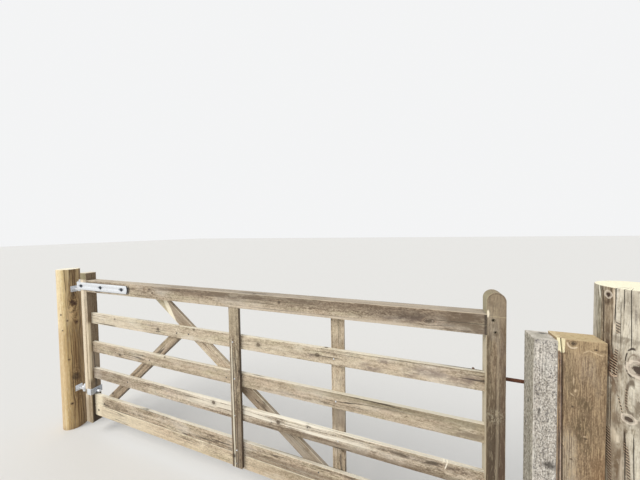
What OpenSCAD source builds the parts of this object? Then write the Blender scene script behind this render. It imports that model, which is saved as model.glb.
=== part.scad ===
// Wooden field gate with its round hanging post, its squared shutting timbers and the
// thick round post that they stand against.
// Millimetres. X runs along the closed gate from the hanging post to the shutting post,
// Y points to the field side and Z is up. The origin is the centre of the hanging
// post's foot, at ground level, and the gate's middle plane is at Y = 0.

/* [Hanging post] */
// Height of the round hanging post above the ground
hang_post_h = 1400; // [1340:5:1700]
// Diameter of the hanging post at the ground
hang_post_foot_d = 164; // [160:1:200]
// Diameter of the hanging post at its sawn top
hang_post_top_d = 158; // [156:1:196]
// Depth of the flats chopped in the hanging post for the hook washers, at its top
hook_flat = 4; // [3.5:0.25:8]
// Length of the drying crack that runs down from the hanging post's top
crack_l = 210; // [100:10:400]
// Depth of that crack at the top
crack_depth = 14; // [6:1:30]
// Width of that crack
crack_w = 3; // [2:0.5:5]
// Direction of that crack round the post, counted from the gate
crack_angle = -40; // [-60:5:-35]

/* [Shutting post] */
// Height of the grey shutting timber above the ground
grey_h = 1242; // [1100:2:1500]
// Height of the brown shutting timber above the ground
brown_h = 1252; // [1100:2:1500]
// Width of the grey shutting timber, along the gate
grey_w = 80; // [70:1:150]
// Width of the brown shutting timber, along the gate
brown_w = 150; // [100:1:220]
// Depth of the grey shutting timber, across the gate
grey_t = 100; // [80:1:150]
// Depth of the brown shutting timber, its near face in line with the grey one
brown_t = 90; // [70:1:150]
// Free space between the shutting stile and the shutting post
shut_gap = 87; // [60:1:120]
// Distance of the drying shake from the grey timber
shake_x = 15; // [10:1:40]
// Depth of the drying shake
shake_depth = 14; // [6:1:25]
// Width of the drying shake at the face
shake_w = 3; // [2:0.5:6]
// Height of the chip split from the top of the brown timber
chip_h = 58; // [30:1:100]
// Width of that chip
chip_w = 20; // [16:1:40]
// Depth of that chip at the top
chip_depth = 12; // [6:1:25]

/* [Thick round post] */
// Height of the thick round post beyond the shutting timbers
thick_post_h = 1466; // [1260:2:1700]
// Diameter of the thick round post
thick_post_d = 236; // [180:2:280]
// Distance of that post's axis from the gate's middle plane, towards the field
thick_post_y = -3; // [-30:1:60]
// Depth of the flat on which the brown timber bears
thick_post_seat = 3; // [2:0.5:8]
// Length of the drying crack that runs down from that post's top
thick_crack_l = 800; // [200:10:1100]
// Depth of that crack at the top
thick_crack_depth = 30; // [10:1:60]
// Width of that crack
thick_crack_w = 2.5; // [2:0.5:6]
// Direction of that crack round the post, counted from the gate's length
thick_crack_angle = -126; // [-140:2:-30]

/* [Gate frame] */
// Length of the gate over both stiles
gate_l = 3000; // [2700:10:3300]
// Width of the stiles, along the gate
stile_w = 75; // [70:1:100]
// Thickness of the stiles and of the top rail
stile_t = 75; // [70:1:90]
// Chamfer along the arrises of the stiles, the top rail and the shutting timbers
arris = 3; // [1:0.5:4]
// Height of the stile feet above the ground
gate_clear = 110; // [80:5:160]
// Height of the hanging stile above the top rail
hang_horn = 60; // [20:5:120]
// Height of the shutting stile's round head above the top rail
shut_horn = 96; // [60:1:150]
// Depth that the rails run into the stiles
tenon_l = 45; // [30:1:48]
// Thickness of the top rail's tenons
tenon_t = 25; // [20:1:30]
// Shoulder above and below the top rail's tenons
tenon_shoulder = 10; // [5:1:20]
// Distance of the upper peg hole from the shutting stile's inner edge
upper_peg_x = 26; // [15:1:40]
// Distance of the lower peg hole from the shutting stile's inner edge
lower_peg_x = 35; // [15:1:40]
// Distance of the upper peg hole below the top rail's upper face
upper_peg_drop = 26; // [16:1:32]
// Distance of the lower peg hole above the top rail's lower face
lower_peg_rise = 16; // [16:1:32]
// Diameter of the two peg holes in the shutting stile
peg_hole_d = 10; // [8:1:14]
// Depth of the peg holes
peg_hole_depth = 14; // [8:1:20]

/* [Rails] */
// Height of the top rail's upper face above the ground
top_rail_z = 1320; // [1300:5:1330]
// Depth of the top rail
top_rail_h = 95; // [90:1:110]
// Depth of the lower rails and of the bottom board
rail_h = 88; // [80:1:92]
// Thickness of the lower rails and of the bottom board
rail_t = 22; // [18:1:28]
// Gap between the top rail and the second rail
gap_1 = 182; // [170:1:190]
// Gap between the second and the third rail
gap_2 = 155; // [145:1:160]
// Gap between the third and the fourth rail
gap_3 = 138; // [130:1:145]
// Gap between the fourth and the fifth rail
gap_4 = 138; // [130:1:140]
// Gap between the fifth rail and the bottom board
gap_5 = 4; // [1:1:10]

/* [Uprights and braces] */
// Width of the two uprights
upright_w = 75; // [60:1:90]
// Thickness of the uprights
upright_t = 22; // [16:1:25]
// Distance of the near upright from the hanging end
near_upright_x = 1516; // [1300:1:1700]
// Distance of the far upright from the hanging end
far_upright_x = 2185; // [2050:1:2300]
// Height of the uprights' feet above the bottom board's lower edge
upright_lift = 16; // [0:1:40]
// Width of the two braces
brace_w = 77; // [60:1:90]
// Thickness of the braces
brace_t = 22; // [16:1:25]
// Distance of the long brace's head from the hanging end, at the top rail
long_brace_x = 854; // [800:1:900]
// Slope of the long brace
long_brace_angle = 36; // [34:0.5:38]
// Distance of the short brace's head from the hanging end, at the second rail
short_brace_x = 1056; // [1000:1:1080]
// Slope of the short brace
short_brace_angle = 40; // [38:0.5:42]
// Play between the braces and what they butt against
brace_play = 0.3; // [0.2:0.1:1]

/* [Hinges] */
// Distance of the hinge pins' axis from the hanging post's axis
hook_reach = 170; // [160:1:190]
// Distance of the hinge pins' axis from the hanging stile
eye_reach = 75; // [68:1:90]
// Diameter of the hinge pins
pin_d = 19; // [16:1:22]
// Running clearance round the hinge pins, on the radius
pin_clear = 0.1; // [0.05:0.01:0.1]
// Gap between an eye and the collar below it
eye_lift = 0.3; // [0.2:0.1:1]
// Height of a pin above its eye
pin_rise = 12; // [6:1:20]
// Diameter of the hooks' and the eye bolt's round shanks
shank_d = 20; // [16:1:24]
// Diameter of the collar under a pin
collar_d = 32; // [28:1:38]
// Height of the collar under a pin
collar_h = 26; // [22:1:34]
// Chamfer round the rims of the pins, collars and eyes
rim = 1.5; // [0.5:0.25:2]
// Clearance round shanks and bolts in their holes, on the radius
hole_clear = 0.5; // [0.3:0.1:1]
// Side of the square washers
washer_w = 50; // [40:1:50]
// Thickness of the square washers
washer_t = 5; // [3:0.5:8]
// Width of the large nuts over their flats
nut_w = 30; // [26:1:36]
// Thickness of the large nuts
nut_t = 16; // [12:1:20]
// Length of thread that stands out past a large nut
thread_out = 14; // [8:1:40]

/* [Top band] */
// Length of the band's straps past the hanging end of the gate
band_l = 585; // [570:5:700]
// Height of the band
band_h = 60; // [50:1:66]
// Thickness of the band
band_t = 6; // [4:0.5:8]
// Outer diameter of the band's eye
band_eye_d = 36; // [32:1:44]
// Distance from the stile at which the straps bend in to the eye
band_bend = 35; // [20:1:45]
// Length of the clipped corners at the straps' ends
band_clip = 16; // [6:1:24]
// Distance of the first strap bolt from the hanging end
band_bolt_x = 18; // [14:1:20]
// Spacing of the three strap bolts
band_bolt_step = 251; // [200:1:260]
// Diameter of the strap bolts
band_bolt_d = 12; // [10:1:14]
// Diameter of the strap bolts' cup heads
cup_d = 28; // [24:1:34]
// Height of the cup heads
cup_h = 6; // [4:0.5:9]
// Width of the strap bolts' nuts over their flats
band_nut_w = 19; // [17:1:24]
// Thickness of the strap bolts' nuts
band_nut_t = 10; // [7:1:12]

/* [Bottom eye bolt] */
// Height of the eye bolt above the ground
eye_bolt_z = 377; // [372:1:400]
// Outer diameter of the bolt's eye
eye_d = 44; // [38:1:52]
// Height of the bolt's eye
eye_h = 24; // [20:1:32]
// Height of the bracket round the stile
bracket_h = 50; // [40:1:56]
// Thickness of the bracket
bracket_t = 5; // [3:0.5:8]
// Length of the bracket's ears over the stile's faces
bracket_ear = 45; // [30:1:70]
// Length of the eye bolt past its inner nut
eye_bolt_out = 27; // [10:1:50]

/* [Latch bar] */
// Diameter of the latch bar
bar_d = 16; // [12:1:20]
// Length of the latch bar
bar_l = 500; // [450:5:600]
// Height of the latch bar above the ground
bar_z = 998; // [985:1:1010]
// Gap between the latch bar and the stile's far face
bar_off = 5; // [3:0.5:8]
// Length of the bar that lies behind the shutting post
bar_lap = 53; // [30:1:60]
// Distance of the bar's handle from the bar's free end
handle_x = 240; // [235:1:250]
// Diameter of the handle
handle_d = 12; // [10:1:15]
// Length of the handle, from the bar's axis
handle_l = 55; // [40:1:90]
// Diameter of the staples' round iron
staple_d = 8; // [6:1:10]
// Gap between the bar and a staple
staple_play = 1; // [0.5:0.1:2]
// Depth that the staples are driven into the timber
staple_in = 18; // [10:1:20]
// Distance of the rail staple from the shutting end
rail_staple_x = 310; // [300:1:340]

/* [Hidden] */
$fn = 64;
half_t = stile_t / 2;
gate_x = hook_reach + eye_reach;
gate_end = gate_x + gate_l;
inner_x = gate_x + stile_w;
shut_x = gate_end - stile_w;
post_x = gate_end + shut_gap;
brown_x = post_x + grey_w;
thick_post_x = brown_x + brown_w + thick_post_d / 2 - thick_post_seat;
post_far_y = half_t;
post_near_y = post_far_y - grey_t;

top_rail_foot = top_rail_z - top_rail_h;
second_z = top_rail_foot - gap_1 - rail_h;
third_z = second_z - gap_2 - rail_h;
fourth_z = third_z - gap_3 - rail_h;
fifth_z = fourth_z - gap_4 - rail_h;
board_z = fifth_z - gap_5 - rail_h;
rail_zs = [second_z, third_z, fourth_z, fifth_z, board_z];

seat_x = hang_post_top_d / 2 - hook_flat;
hang_post_taper = (hang_post_foot_d - hang_post_top_d) / 2 / hang_post_h;
bore_d = pin_d + 2 * pin_clear;
band_z = top_rail_foot + (top_rail_h - band_h) / 2;
top_shank_z = band_z - eye_lift - collar_h / 2;
bottom_shank_z = eye_bolt_z - eye_h / 2 - eye_lift - collar_h / 2;
hook_back_x = -(seat_x + washer_t + nut_t + thread_out);
bar_y = half_t + bar_off + bar_d / 2;
bar_end = post_x + bar_lap;
staple_r = bar_d / 2 + staple_play + staple_d / 2;
cut = 1;

// Cross-section of a squared timber with chamfered arrises, centred
module chamfered(w, t) {
    x = w / 2;
    y = t / 2;
    polygon([
        [-x, arris - y], [arris - x, -y],
        [x - arris, -y], [x, arris - y],
        [x, y - arris], [x - arris, y],
        [arris - x, y], [-x, y - arris]
    ]);
}

// A drum with chamfered rims, from the plane z = 0 up
module drum(d, h, foot_rim, top_rim) {
    rotate_extrude()
        polygon([
            [0, 0],
            [d / 2 - foot_rim, 0],
            [d / 2, foot_rim],
            [d / 2, h - top_rim],
            [d / 2 - top_rim, h],
            [0, h]
        ]);
}

// A hexagon nut without its hole, with turned-off corners, from the plane z = 0 up
module hexagon(w, h) {
    corner_r = w / cos(30) / 2;
    turned = cut + (corner_r - w / 2) / 2;
    intersection() {
        cylinder(r = corner_r, h = h, $fn = 6);
        drum(2 * (corner_r + cut), h, turned, turned);
    }
}

// A flat drawing in X and Z, given a thickness t from the plane y = y0 towards the field
module board_at(y0, t) {
    translate([0, y0 + t, 0])
        rotate([90, 0, 0])
            linear_extrude(t)
                children();
}

// A round bar or hole along X
module rod_x(x0, x1, y, z, d) {
    translate([x0, y, z])
        rotate([0, 90, 0])
            cylinder(d = d, h = x1 - x0);
}

// A round bar or hole along Y
module rod_y(x, y0, y1, z, d) {
    translate([x, y1, z])
        rotate([90, 0, 0])
            cylinder(d = d, h = y1 - y0);
}

// A hexagon nut on the X axis at height z
module nut_x(x0, z) {
    translate([x0, 0, z])
        rotate([0, 90, 0])
            difference() {
                hexagon(nut_w, nut_t);
                translate([0, 0, -cut])
                    cylinder(d = shank_d + 2 * hole_clear, h = nut_t + 2 * cut);
            }
}

// A square washer on the X axis at height z
module washer_x(x0, z) {
    difference() {
        translate([x0, -washer_w / 2, z - washer_w / 2])
            cube([washer_t, washer_w, washer_w]);
        rod_x(x0 - cut, x0 + washer_t + cut, 0, z, shank_d + 2 * hole_clear);
    }
}

// The flats and the bore that one hook needs in the hanging post
module hook_housing(z) {
    for (side = [-1, 1])
        translate([side * (seat_x + hang_post_foot_d / 2) - hang_post_foot_d / 2,
                   -hang_post_foot_d / 2, z - washer_w / 2 - cut])
            cube([hang_post_foot_d, hang_post_foot_d, washer_w + 2 * cut]);
    rod_x(-hang_post_foot_d, hang_post_foot_d, 0, z, shank_d + 2 * hole_clear);
}

// Peeled round post, a little thinner at its sawn top
module hanging_post() {
    color("burlywood")
        difference() {
            cylinder(d1 = hang_post_foot_d, d2 = hang_post_top_d, h = hang_post_h);
            hook_housing(top_shank_z);
            hook_housing(bottom_shank_z);
            rotate(crack_angle)
                translate([0, 0, hang_post_h])
                    drying_crack(hang_post_top_d / 2, hang_post_taper, crack_l, crack_depth,
                                 crack_w);
        }
}

// A crack that runs down from the plane z = 0 in a post whose radius there is skin
module drying_crack(skin, taper, l, depth, w) {
    low_skin = skin + taper * l;
    translate([0, w / 2, 0])
        rotate([90, 0, 0])
            linear_extrude(w)
                polygon([
                    [skin - depth, cut],
                    [skin - depth, 0],
                    [low_skin, -l],
                    [low_skin + cut, -l],
                    [low_skin + cut, cut]
                ]);
}

// Grey squared timber next to the gate
module grey_shutting_post() {
    color("darkgray")
        translate([post_x + grey_w / 2, post_near_y + grey_t / 2, 0])
            linear_extrude(grey_h)
                chamfered(grey_w, grey_t);
}

// Brown squared timber with its drying shake and the chip beside it
module brown_shutting_post() {
    color("peru")
        difference() {
            translate([brown_x, post_near_y, 0])
                linear_extrude(brown_h)
                    polygon([
                        [0, arris],
                        [arris, 0],
                        [shake_x - shake_w / 2, 0],
                        [shake_x, shake_depth],
                        [shake_x + shake_w / 2, 0],
                        [brown_w - arris, 0],
                        [brown_w, arris],
                        [brown_w, brown_t - arris],
                        [brown_w - arris, brown_t],
                        [arris, brown_t],
                        [0, brown_t - arris]
                    ]);
            translate([brown_x - cut, post_near_y, brown_h])
                rotate([90, 0, 90])
                    linear_extrude(chip_w + cut)
                        polygon([
                            [-cut, -chip_h],
                            [0, -chip_h],
                            [chip_depth, 0],
                            [chip_depth, cut],
                            [-cut, cut]
                        ]);
        }
}

// Thick round post with a flat for the brown timber and a long drying crack
module thick_round_post() {
    color("wheat")
        difference() {
            translate([thick_post_x, thick_post_y, 0])
                cylinder(d = thick_post_d, h = thick_post_h);
            translate([brown_x, thick_post_y - thick_post_d / 2, -cut])
                cube([brown_w, thick_post_d, brown_h + cut]);
            translate([thick_post_x, thick_post_y, thick_post_h])
                rotate(thick_crack_angle)
                    drying_crack(thick_post_d / 2, 0, thick_crack_l, thick_crack_depth,
                                 thick_crack_w);
        }
}

// Threaded hook with an upright pin on a collar
module hook(shank_z, eye_height) {
    pin_top = collar_h / 2 + eye_lift + eye_height + pin_rise;
    rod_x(hook_back_x, hook_reach, 0, shank_z, shank_d);
    translate([hook_reach, 0, shank_z - collar_h / 2])
        drum(collar_d, collar_h, rim, rim);
    translate([hook_reach, 0, shank_z])
        drum(pin_d, pin_top, 0, rim);
}

module hook_washers(shank_z) {
    washer_x(seat_x, shank_z);
    washer_x(-seat_x - washer_t, shank_z);
}

module hook_nuts(shank_z) {
    nut_x(seat_x + washer_t, shank_z);
    nut_x(-seat_x - washer_t - nut_t, shank_z);
}

module top_hook() {
    color("silver")
        hook(top_shank_z, band_h);
}

module top_hook_washers() {
    color("silver")
        hook_washers(top_shank_z);
}

module top_hook_nuts() {
    color("silver")
        hook_nuts(top_shank_z);
}

module bottom_hook() {
    color("silver")
        hook(bottom_shank_z, eye_h);
}

module bottom_hook_washers() {
    color("silver")
        hook_washers(bottom_shank_z);
}

module bottom_hook_nuts() {
    color("silver")
        hook_nuts(bottom_shank_z);
}

// Pockets for the ends of all rails, from the plane x0 over the tenon length
module mortises(x0) {
    for (z = rail_zs)
        translate([x0, -rail_t / 2, z])
            cube([tenon_l, rail_t, rail_h]);
    translate([x0, -tenon_t / 2, top_rail_foot + tenon_shoulder])
        cube([tenon_l, tenon_t, top_rail_h - 2 * tenon_shoulder]);
}

// Square stile at the hinge end, with a flat head
module hanging_stile() {
    color("tan")
        difference() {
            translate([gate_x + stile_w / 2, 0, gate_clear])
                linear_extrude(top_rail_z + hang_horn - gate_clear)
                    chamfered(stile_w, stile_t);
            mortises(inner_x - tenon_l);
            band_bolt_holes();
            rod_x(gate_x - cut, inner_x + cut, 0, eye_bolt_z, shank_d + 2 * hole_clear);
        }
}

// Blind peg hole in the near face of a stile
module peg_hole(x, z) {
    rod_y(x, -half_t - cut, -half_t + peg_hole_depth, z, peg_hole_d);
}

// Square stile at the latch end, with a round head and two peg holes
module shutting_stile() {
    head_z = top_rail_z + shut_horn - stile_w / 2;
    color("tan")
        difference() {
            intersection() {
                translate([shut_x + stile_w / 2, 0, gate_clear])
                    linear_extrude(top_rail_z + shut_horn - gate_clear)
                        chamfered(stile_w, stile_t);
                union() {
                    translate([shut_x - cut, -stile_t, 0])
                        cube([stile_w + 2 * cut, 2 * stile_t, head_z]);
                    rod_y(shut_x + stile_w / 2, -stile_t, stile_t, head_z, stile_w);
                }
            }
            mortises(shut_x);
            peg_hole(shut_x + upper_peg_x, top_rail_z - upper_peg_drop);
            peg_hole(shut_x + lower_peg_x, top_rail_foot + lower_peg_rise);
            staple_holes(shut_x + stile_w / 2, half_t);
        }
}

// Thick top rail with shouldered tenons
module top_rail() {
    color("tan")
        difference() {
            union() {
                translate([inner_x, 0, top_rail_foot + top_rail_h / 2])
                    rotate([90, 0, 90])
                        linear_extrude(shut_x - inner_x)
                            chamfered(stile_t, top_rail_h);
                translate([inner_x - tenon_l, -tenon_t / 2, top_rail_foot + tenon_shoulder])
                    cube([shut_x - inner_x + 2 * tenon_l, tenon_t,
                          top_rail_h - 2 * tenon_shoulder]);
            }
            band_bolt_holes();
        }
}

// A lower rail whose ends run into both stiles
module rail(z) {
    color("tan")
        translate([inner_x - tenon_l, -rail_t / 2, z])
            cube([shut_x - inner_x + 2 * tenon_l, rail_t, rail_h]);
}

module second_rail() {
    difference() {
        rail(second_z);
        staple_holes(gate_end - rail_staple_x, rail_t / 2);
    }
}

module third_rail() {
    rail(third_z);
}

module fourth_rail() {
    rail(fourth_z);
}

module fifth_rail() {
    rail(fifth_z);
}

module bottom_board() {
    rail(board_z);
}

// An upright board from the top rail's underside down over the bottom board
module upright(x, y0) {
    foot = board_z + upright_lift;
    color("tan")
        translate([gate_x + x, y0, foot])
            cube([upright_w, upright_t, top_rail_foot - foot]);
}

module near_upright() {
    upright(near_upright_x, -rail_t / 2 - upright_t);
}

module far_upright() {
    upright(far_upright_x, rail_t / 2);
}

// Outline of a board of width brace_w that slopes through the point x, z
module sloping_strip(x, z, angle) {
    translate([x, z])
        rotate(angle)
            translate([-gate_l, -brace_w / 2])
                square([2 * gate_l, brace_w]);
}

// Everything above and to the right of the long brace's lower edge
module above_long_brace() {
    translate([gate_x + long_brace_x, top_rail_foot])
        rotate(-long_brace_angle)
            translate([-gate_l, -brace_w / 2 - brace_play])
                square([2 * gate_l, gate_l]);
}

// Long brace from the top rail down to the foot of the far upright
module long_brace() {
    color("tan")
        board_at(rail_t / 2, brace_t)
            intersection() {
                sloping_strip(gate_x + long_brace_x, top_rail_foot, -long_brace_angle);
                translate([inner_x, board_z])
                    square([gate_x + far_upright_x - brace_play - inner_x,
                            top_rail_foot - board_z]);
            }
}

// Short brace from the foot of the hanging stile up to the long brace
module short_brace() {
    color("tan")
        board_at(rail_t / 2, brace_t)
            difference() {
                intersection() {
                    sloping_strip(gate_x + short_brace_x, second_z + rail_h / 2,
                                  short_brace_angle);
                    translate([inner_x, board_z])
                        square([shut_x - inner_x, second_z + rail_h - board_z]);
                }
                above_long_brace();
            }
}

// Holes for the strap bolts, through the gate's thickness
module band_bolt_holes() {
    for (i = [0:2])
        rod_y(gate_x + band_bolt_x + i * band_bolt_step, -half_t - band_t - cut,
              half_t + band_t + cut, band_z + band_h / 2, band_bolt_d + 2 * hole_clear);
}

// Both straps and their bent legs, seen from above
module strap_outline() {
    leg_x = gate_x - band_bend;
    end_x = gate_x + band_l;
    eye_r = band_eye_d / 2;
    out_y = half_t + band_t;
    polygon([
        [end_x, -out_y],
        [leg_x - band_t / 2, -out_y],
        [hook_reach, -eye_r],
        [hook_reach, eye_r],
        [leg_x - band_t / 2, out_y],
        [end_x, out_y],
        [end_x, half_t],
        [leg_x, half_t],
        [hook_reach + eye_r - band_t / 2, band_t],
        [hook_reach + eye_r - band_t / 2, -band_t],
        [leg_x, -half_t],
        [end_x, -half_t]
    ]);
}

// Double-strap band with its eye
module top_band() {
    color("silver")
        difference() {
            union() {
                translate([0, 0, band_z])
                    linear_extrude(band_h)
                        strap_outline();
                translate([hook_reach, 0, band_z])
                    cylinder(d = band_eye_d, h = band_h);
            }
            translate([hook_reach, 0, band_z - cut])
                cylinder(d = bore_d, h = band_h + 2 * cut);
            band_bolt_holes();
            for (up = [0, 1])
                translate([gate_x + band_l, 0, band_z + up * band_h])
                    rotate([0, 45, 0])
                        cube([band_clip, stile_t + 4 * band_t, band_clip], center = true);
        }
}

// A strap bolt with its cup head on the near side and its nut on the field side
module band_bolt(x, z) {
    head_y = -half_t - band_t;
    tail_y = half_t + band_t;
    ball_r = (cup_d * cup_d / 4 + cup_h * cup_h) / (2 * cup_h);
    rod_y(x, head_y - cup_h / 2, tail_y + band_nut_t + band_nut_t / 2, z, band_bolt_d);
    translate([x, tail_y + band_nut_t, z])
        rotate([90, 0, 0])
            hexagon(band_nut_w, band_nut_t);
    translate([x, head_y, z])
        rotate([90, 0, 0])
            rotate_extrude()
                intersection() {
                    translate([0, cup_h - ball_r])
                        circle(r = ball_r);
                    square([cup_d / 2, cup_h]);
                }
}

module band_bolts() {
    color("dimgray")
        for (i = [0:2])
            band_bolt(gate_x + band_bolt_x + i * band_bolt_step, band_z + band_h / 2);
}

// Eye bolt through the foot of the hanging stile
module bottom_eye_bolt() {
    color("silver")
        difference() {
            union() {
                translate([hook_reach, 0, eye_bolt_z - eye_h / 2])
                    drum(eye_d, eye_h, rim, rim);
                rod_x(hook_reach + eye_d / 4, inner_x + bracket_t + nut_t + eye_bolt_out, 0,
                      eye_bolt_z, shank_d);
            }
            translate([hook_reach, 0, eye_bolt_z - eye_h])
                cylinder(d = bore_d, h = 2 * eye_h);
        }
}

// Bent bracket that wraps the inner corner edges of the hanging stile
module bottom_bracket() {
    color("silver")
        difference() {
            translate([0, 0, eye_bolt_z - bracket_h / 2])
                linear_extrude(bracket_h)
                    difference() {
                        translate([inner_x - bracket_ear, -half_t - bracket_t])
                            square([bracket_ear + bracket_t, stile_t + 2 * bracket_t]);
                        translate([inner_x - bracket_ear - cut, -half_t])
                            square([bracket_ear + cut, stile_t]);
                    }
            rod_x(inner_x - cut, inner_x + bracket_t + cut, 0, eye_bolt_z,
                  shank_d + 2 * hole_clear);
        }
}

module bottom_eye_washer() {
    color("silver")
        washer_x(gate_x - washer_t, eye_bolt_z);
}

module bottom_eye_nuts() {
    color("silver") {
        nut_x(gate_x - washer_t - nut_t, eye_bolt_z);
        nut_x(inner_x + bracket_t, eye_bolt_z);
    }
}

// Holes for a staple's two legs in a timber whose far face is at y
module staple_holes(x, y) {
    for (side = [-1, 1])
        rod_y(x, y - staple_in, y + cut, bar_z + side * staple_r, staple_d + 2 * hole_clear);
}

// Round iron staple over the bar, driven into a timber whose far face is at y
module staple(x, y) {
    color("sienna") {
        translate([x, bar_y, bar_z])
            rotate([0, 90, 0])
                rotate_extrude(angle = 180)
                    translate([staple_r, 0])
                        circle(d = staple_d);
        for (side = [-1, 1])
            rod_y(x, y - staple_in, bar_y, bar_z + side * staple_r, staple_d);
    }
}

module stile_staple() {
    staple(shut_x + stile_w / 2, half_t);
}

module rail_staple() {
    staple(gate_end - rail_staple_x, rail_t / 2);
}

// Sliding bar with a handle that points to the field
module latch_bar() {
    color("sienna") {
        rod_x(bar_end - bar_l, bar_end, bar_y, bar_z, bar_d);
        rod_y(bar_end - handle_x, bar_y, bar_y + handle_l, bar_z, handle_d);
        translate([bar_end - handle_x, bar_y + handle_l, bar_z])
            sphere(d = handle_d);
    }
}

hanging_post();
grey_shutting_post();
brown_shutting_post();
thick_round_post();
top_hook();
top_hook_washers();
top_hook_nuts();
bottom_hook();
bottom_hook_washers();
bottom_hook_nuts();
hanging_stile();
shutting_stile();
top_rail();
second_rail();
third_rail();
fourth_rail();
fifth_rail();
bottom_board();
near_upright();
far_upright();
long_brace();
short_brace();
top_band();
band_bolts();
bottom_eye_bolt();
bottom_bracket();
bottom_eye_washer();
bottom_eye_nuts();
stile_staple();
rail_staple();
latch_bar();
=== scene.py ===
# %% [markdown]
# # A wooden field gate between its posts
# The gate hangs on a round peeled post at the left and shuts against two squared timbers at the
# right, with a thick round post beyond them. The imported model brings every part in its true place
# and size, in metres: X runs along the closed gate, Y points to the field side and Z is up. This
# lesson gives the timber its worn arrises, cracks, knots and grain, and the ironwork its zinc,
# its threads and its rust.

import math

import bmesh
import bpy
from mathutils import Matrix, Vector, noise


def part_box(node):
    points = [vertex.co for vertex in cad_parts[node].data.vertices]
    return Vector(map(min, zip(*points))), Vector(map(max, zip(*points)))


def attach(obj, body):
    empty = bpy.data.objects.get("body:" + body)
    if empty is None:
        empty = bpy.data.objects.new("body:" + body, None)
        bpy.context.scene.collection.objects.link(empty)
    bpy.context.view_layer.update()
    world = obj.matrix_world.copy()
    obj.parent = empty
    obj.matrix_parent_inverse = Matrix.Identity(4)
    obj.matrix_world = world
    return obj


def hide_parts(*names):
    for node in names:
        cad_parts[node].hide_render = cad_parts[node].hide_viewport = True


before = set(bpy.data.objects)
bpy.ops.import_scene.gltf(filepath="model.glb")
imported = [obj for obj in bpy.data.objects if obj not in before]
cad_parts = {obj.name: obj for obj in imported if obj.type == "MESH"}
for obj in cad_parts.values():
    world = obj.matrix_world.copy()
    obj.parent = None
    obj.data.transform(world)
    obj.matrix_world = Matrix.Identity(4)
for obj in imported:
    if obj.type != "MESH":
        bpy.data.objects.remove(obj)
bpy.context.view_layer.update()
print("parts in the frame:", len(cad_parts))

# %% [markdown]
# ## Camera
# The picture was taken by someone who stood in front of the shutting end with a wide lens, a
# little above the top rail, and looked towards the hinges. The camera's place and its three turns
# come from the straight edges of the gate. The lens is short, so the near end looks large.


# %% Camera
def linked(name, data):
    """A new object in the scene."""
    made = bpy.data.objects.new(name, data)
    bpy.context.scene.collection.objects.link(made)
    return made


eye_at = Vector((2.883, -1.3485, 1.697))
turn_left, look_down, lean = (math.radians(a) for a in (20.52, 1.98, -0.93))
ahead = Vector((-math.sin(turn_left) * math.cos(look_down),
                math.cos(turn_left) * math.cos(look_down), -math.sin(look_down)))
level = ahead.cross(Vector((0, 0, 1))).normalized()
raised = level.cross(ahead)
right = level * math.cos(lean) + raised * math.sin(lean)
up = raised * math.cos(lean) - level * math.sin(lean)
lens_data = bpy.data.cameras.new("eye")
lens_data.sensor_width = 36
lens_data.lens = 14.552
eye = linked("eye", lens_data)
eye.matrix_world = Matrix((
    (right.x, up.x, -ahead.x, eye_at.x),
    (right.y, up.y, -ahead.y, eye_at.y),
    (right.z, up.z, -ahead.z, eye_at.z),
    (0, 0, 0, 1)))
bpy.context.scene.camera = eye
print("camera height", round(eye_at.z, 3))

# %% [markdown]
# ## Sums on sockets
# A material is a set of sums over the surface. Python can write them as it writes any sum, if a
# small class holds a socket and turns + - * / into Math nodes. Every other node comes from one
# method that takes its type, its settings and what its sockets get. A colour is built up in
# coats, as a painter would: each coat is laid over the last one where its share says so.


# %% A socket that takes part in sums
class Sum:
    """A number that changes over a surface."""

    def __init__(self, tree, socket):
        self.tree, self.socket = tree, socket

    def math(self, operation, *values):
        made = self.tree.nodes.new("ShaderNodeMath")
        made.operation = operation
        for place, value in zip(made.inputs, values):
            plug(self.tree, place, value)
        return Sum(self.tree, made.outputs[0])

    def __add__(self, other):
        return self.math("ADD", self, other)

    def __sub__(self, other):
        return self.math("SUBTRACT", self, other)

    def __rsub__(self, other):
        return self.math("SUBTRACT", other, self)

    def __mul__(self, other):
        return self.math("MULTIPLY", self, other)

    def __truediv__(self, other):
        return self.math("DIVIDE", self, other)

    def __pow__(self, other):
        return self.math("POWER", self, other)

    def __abs__(self):
        return self.math("ABSOLUTE", self)

    def fraction(self):
        return self.math("FRACT", self)

    __radd__ = __add__
    __rmul__ = __mul__


def plug(tree, place, value):
    """Joins a sum to a socket, or writes a plain value into it."""
    if isinstance(value, Sum):
        tree.links.new(value.socket, place)
    elif isinstance(value, tuple) and len(value) == 3 and len(place.default_value) == 4:
        place.default_value = (*value, 1)
    else:
        place.default_value = value


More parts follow.
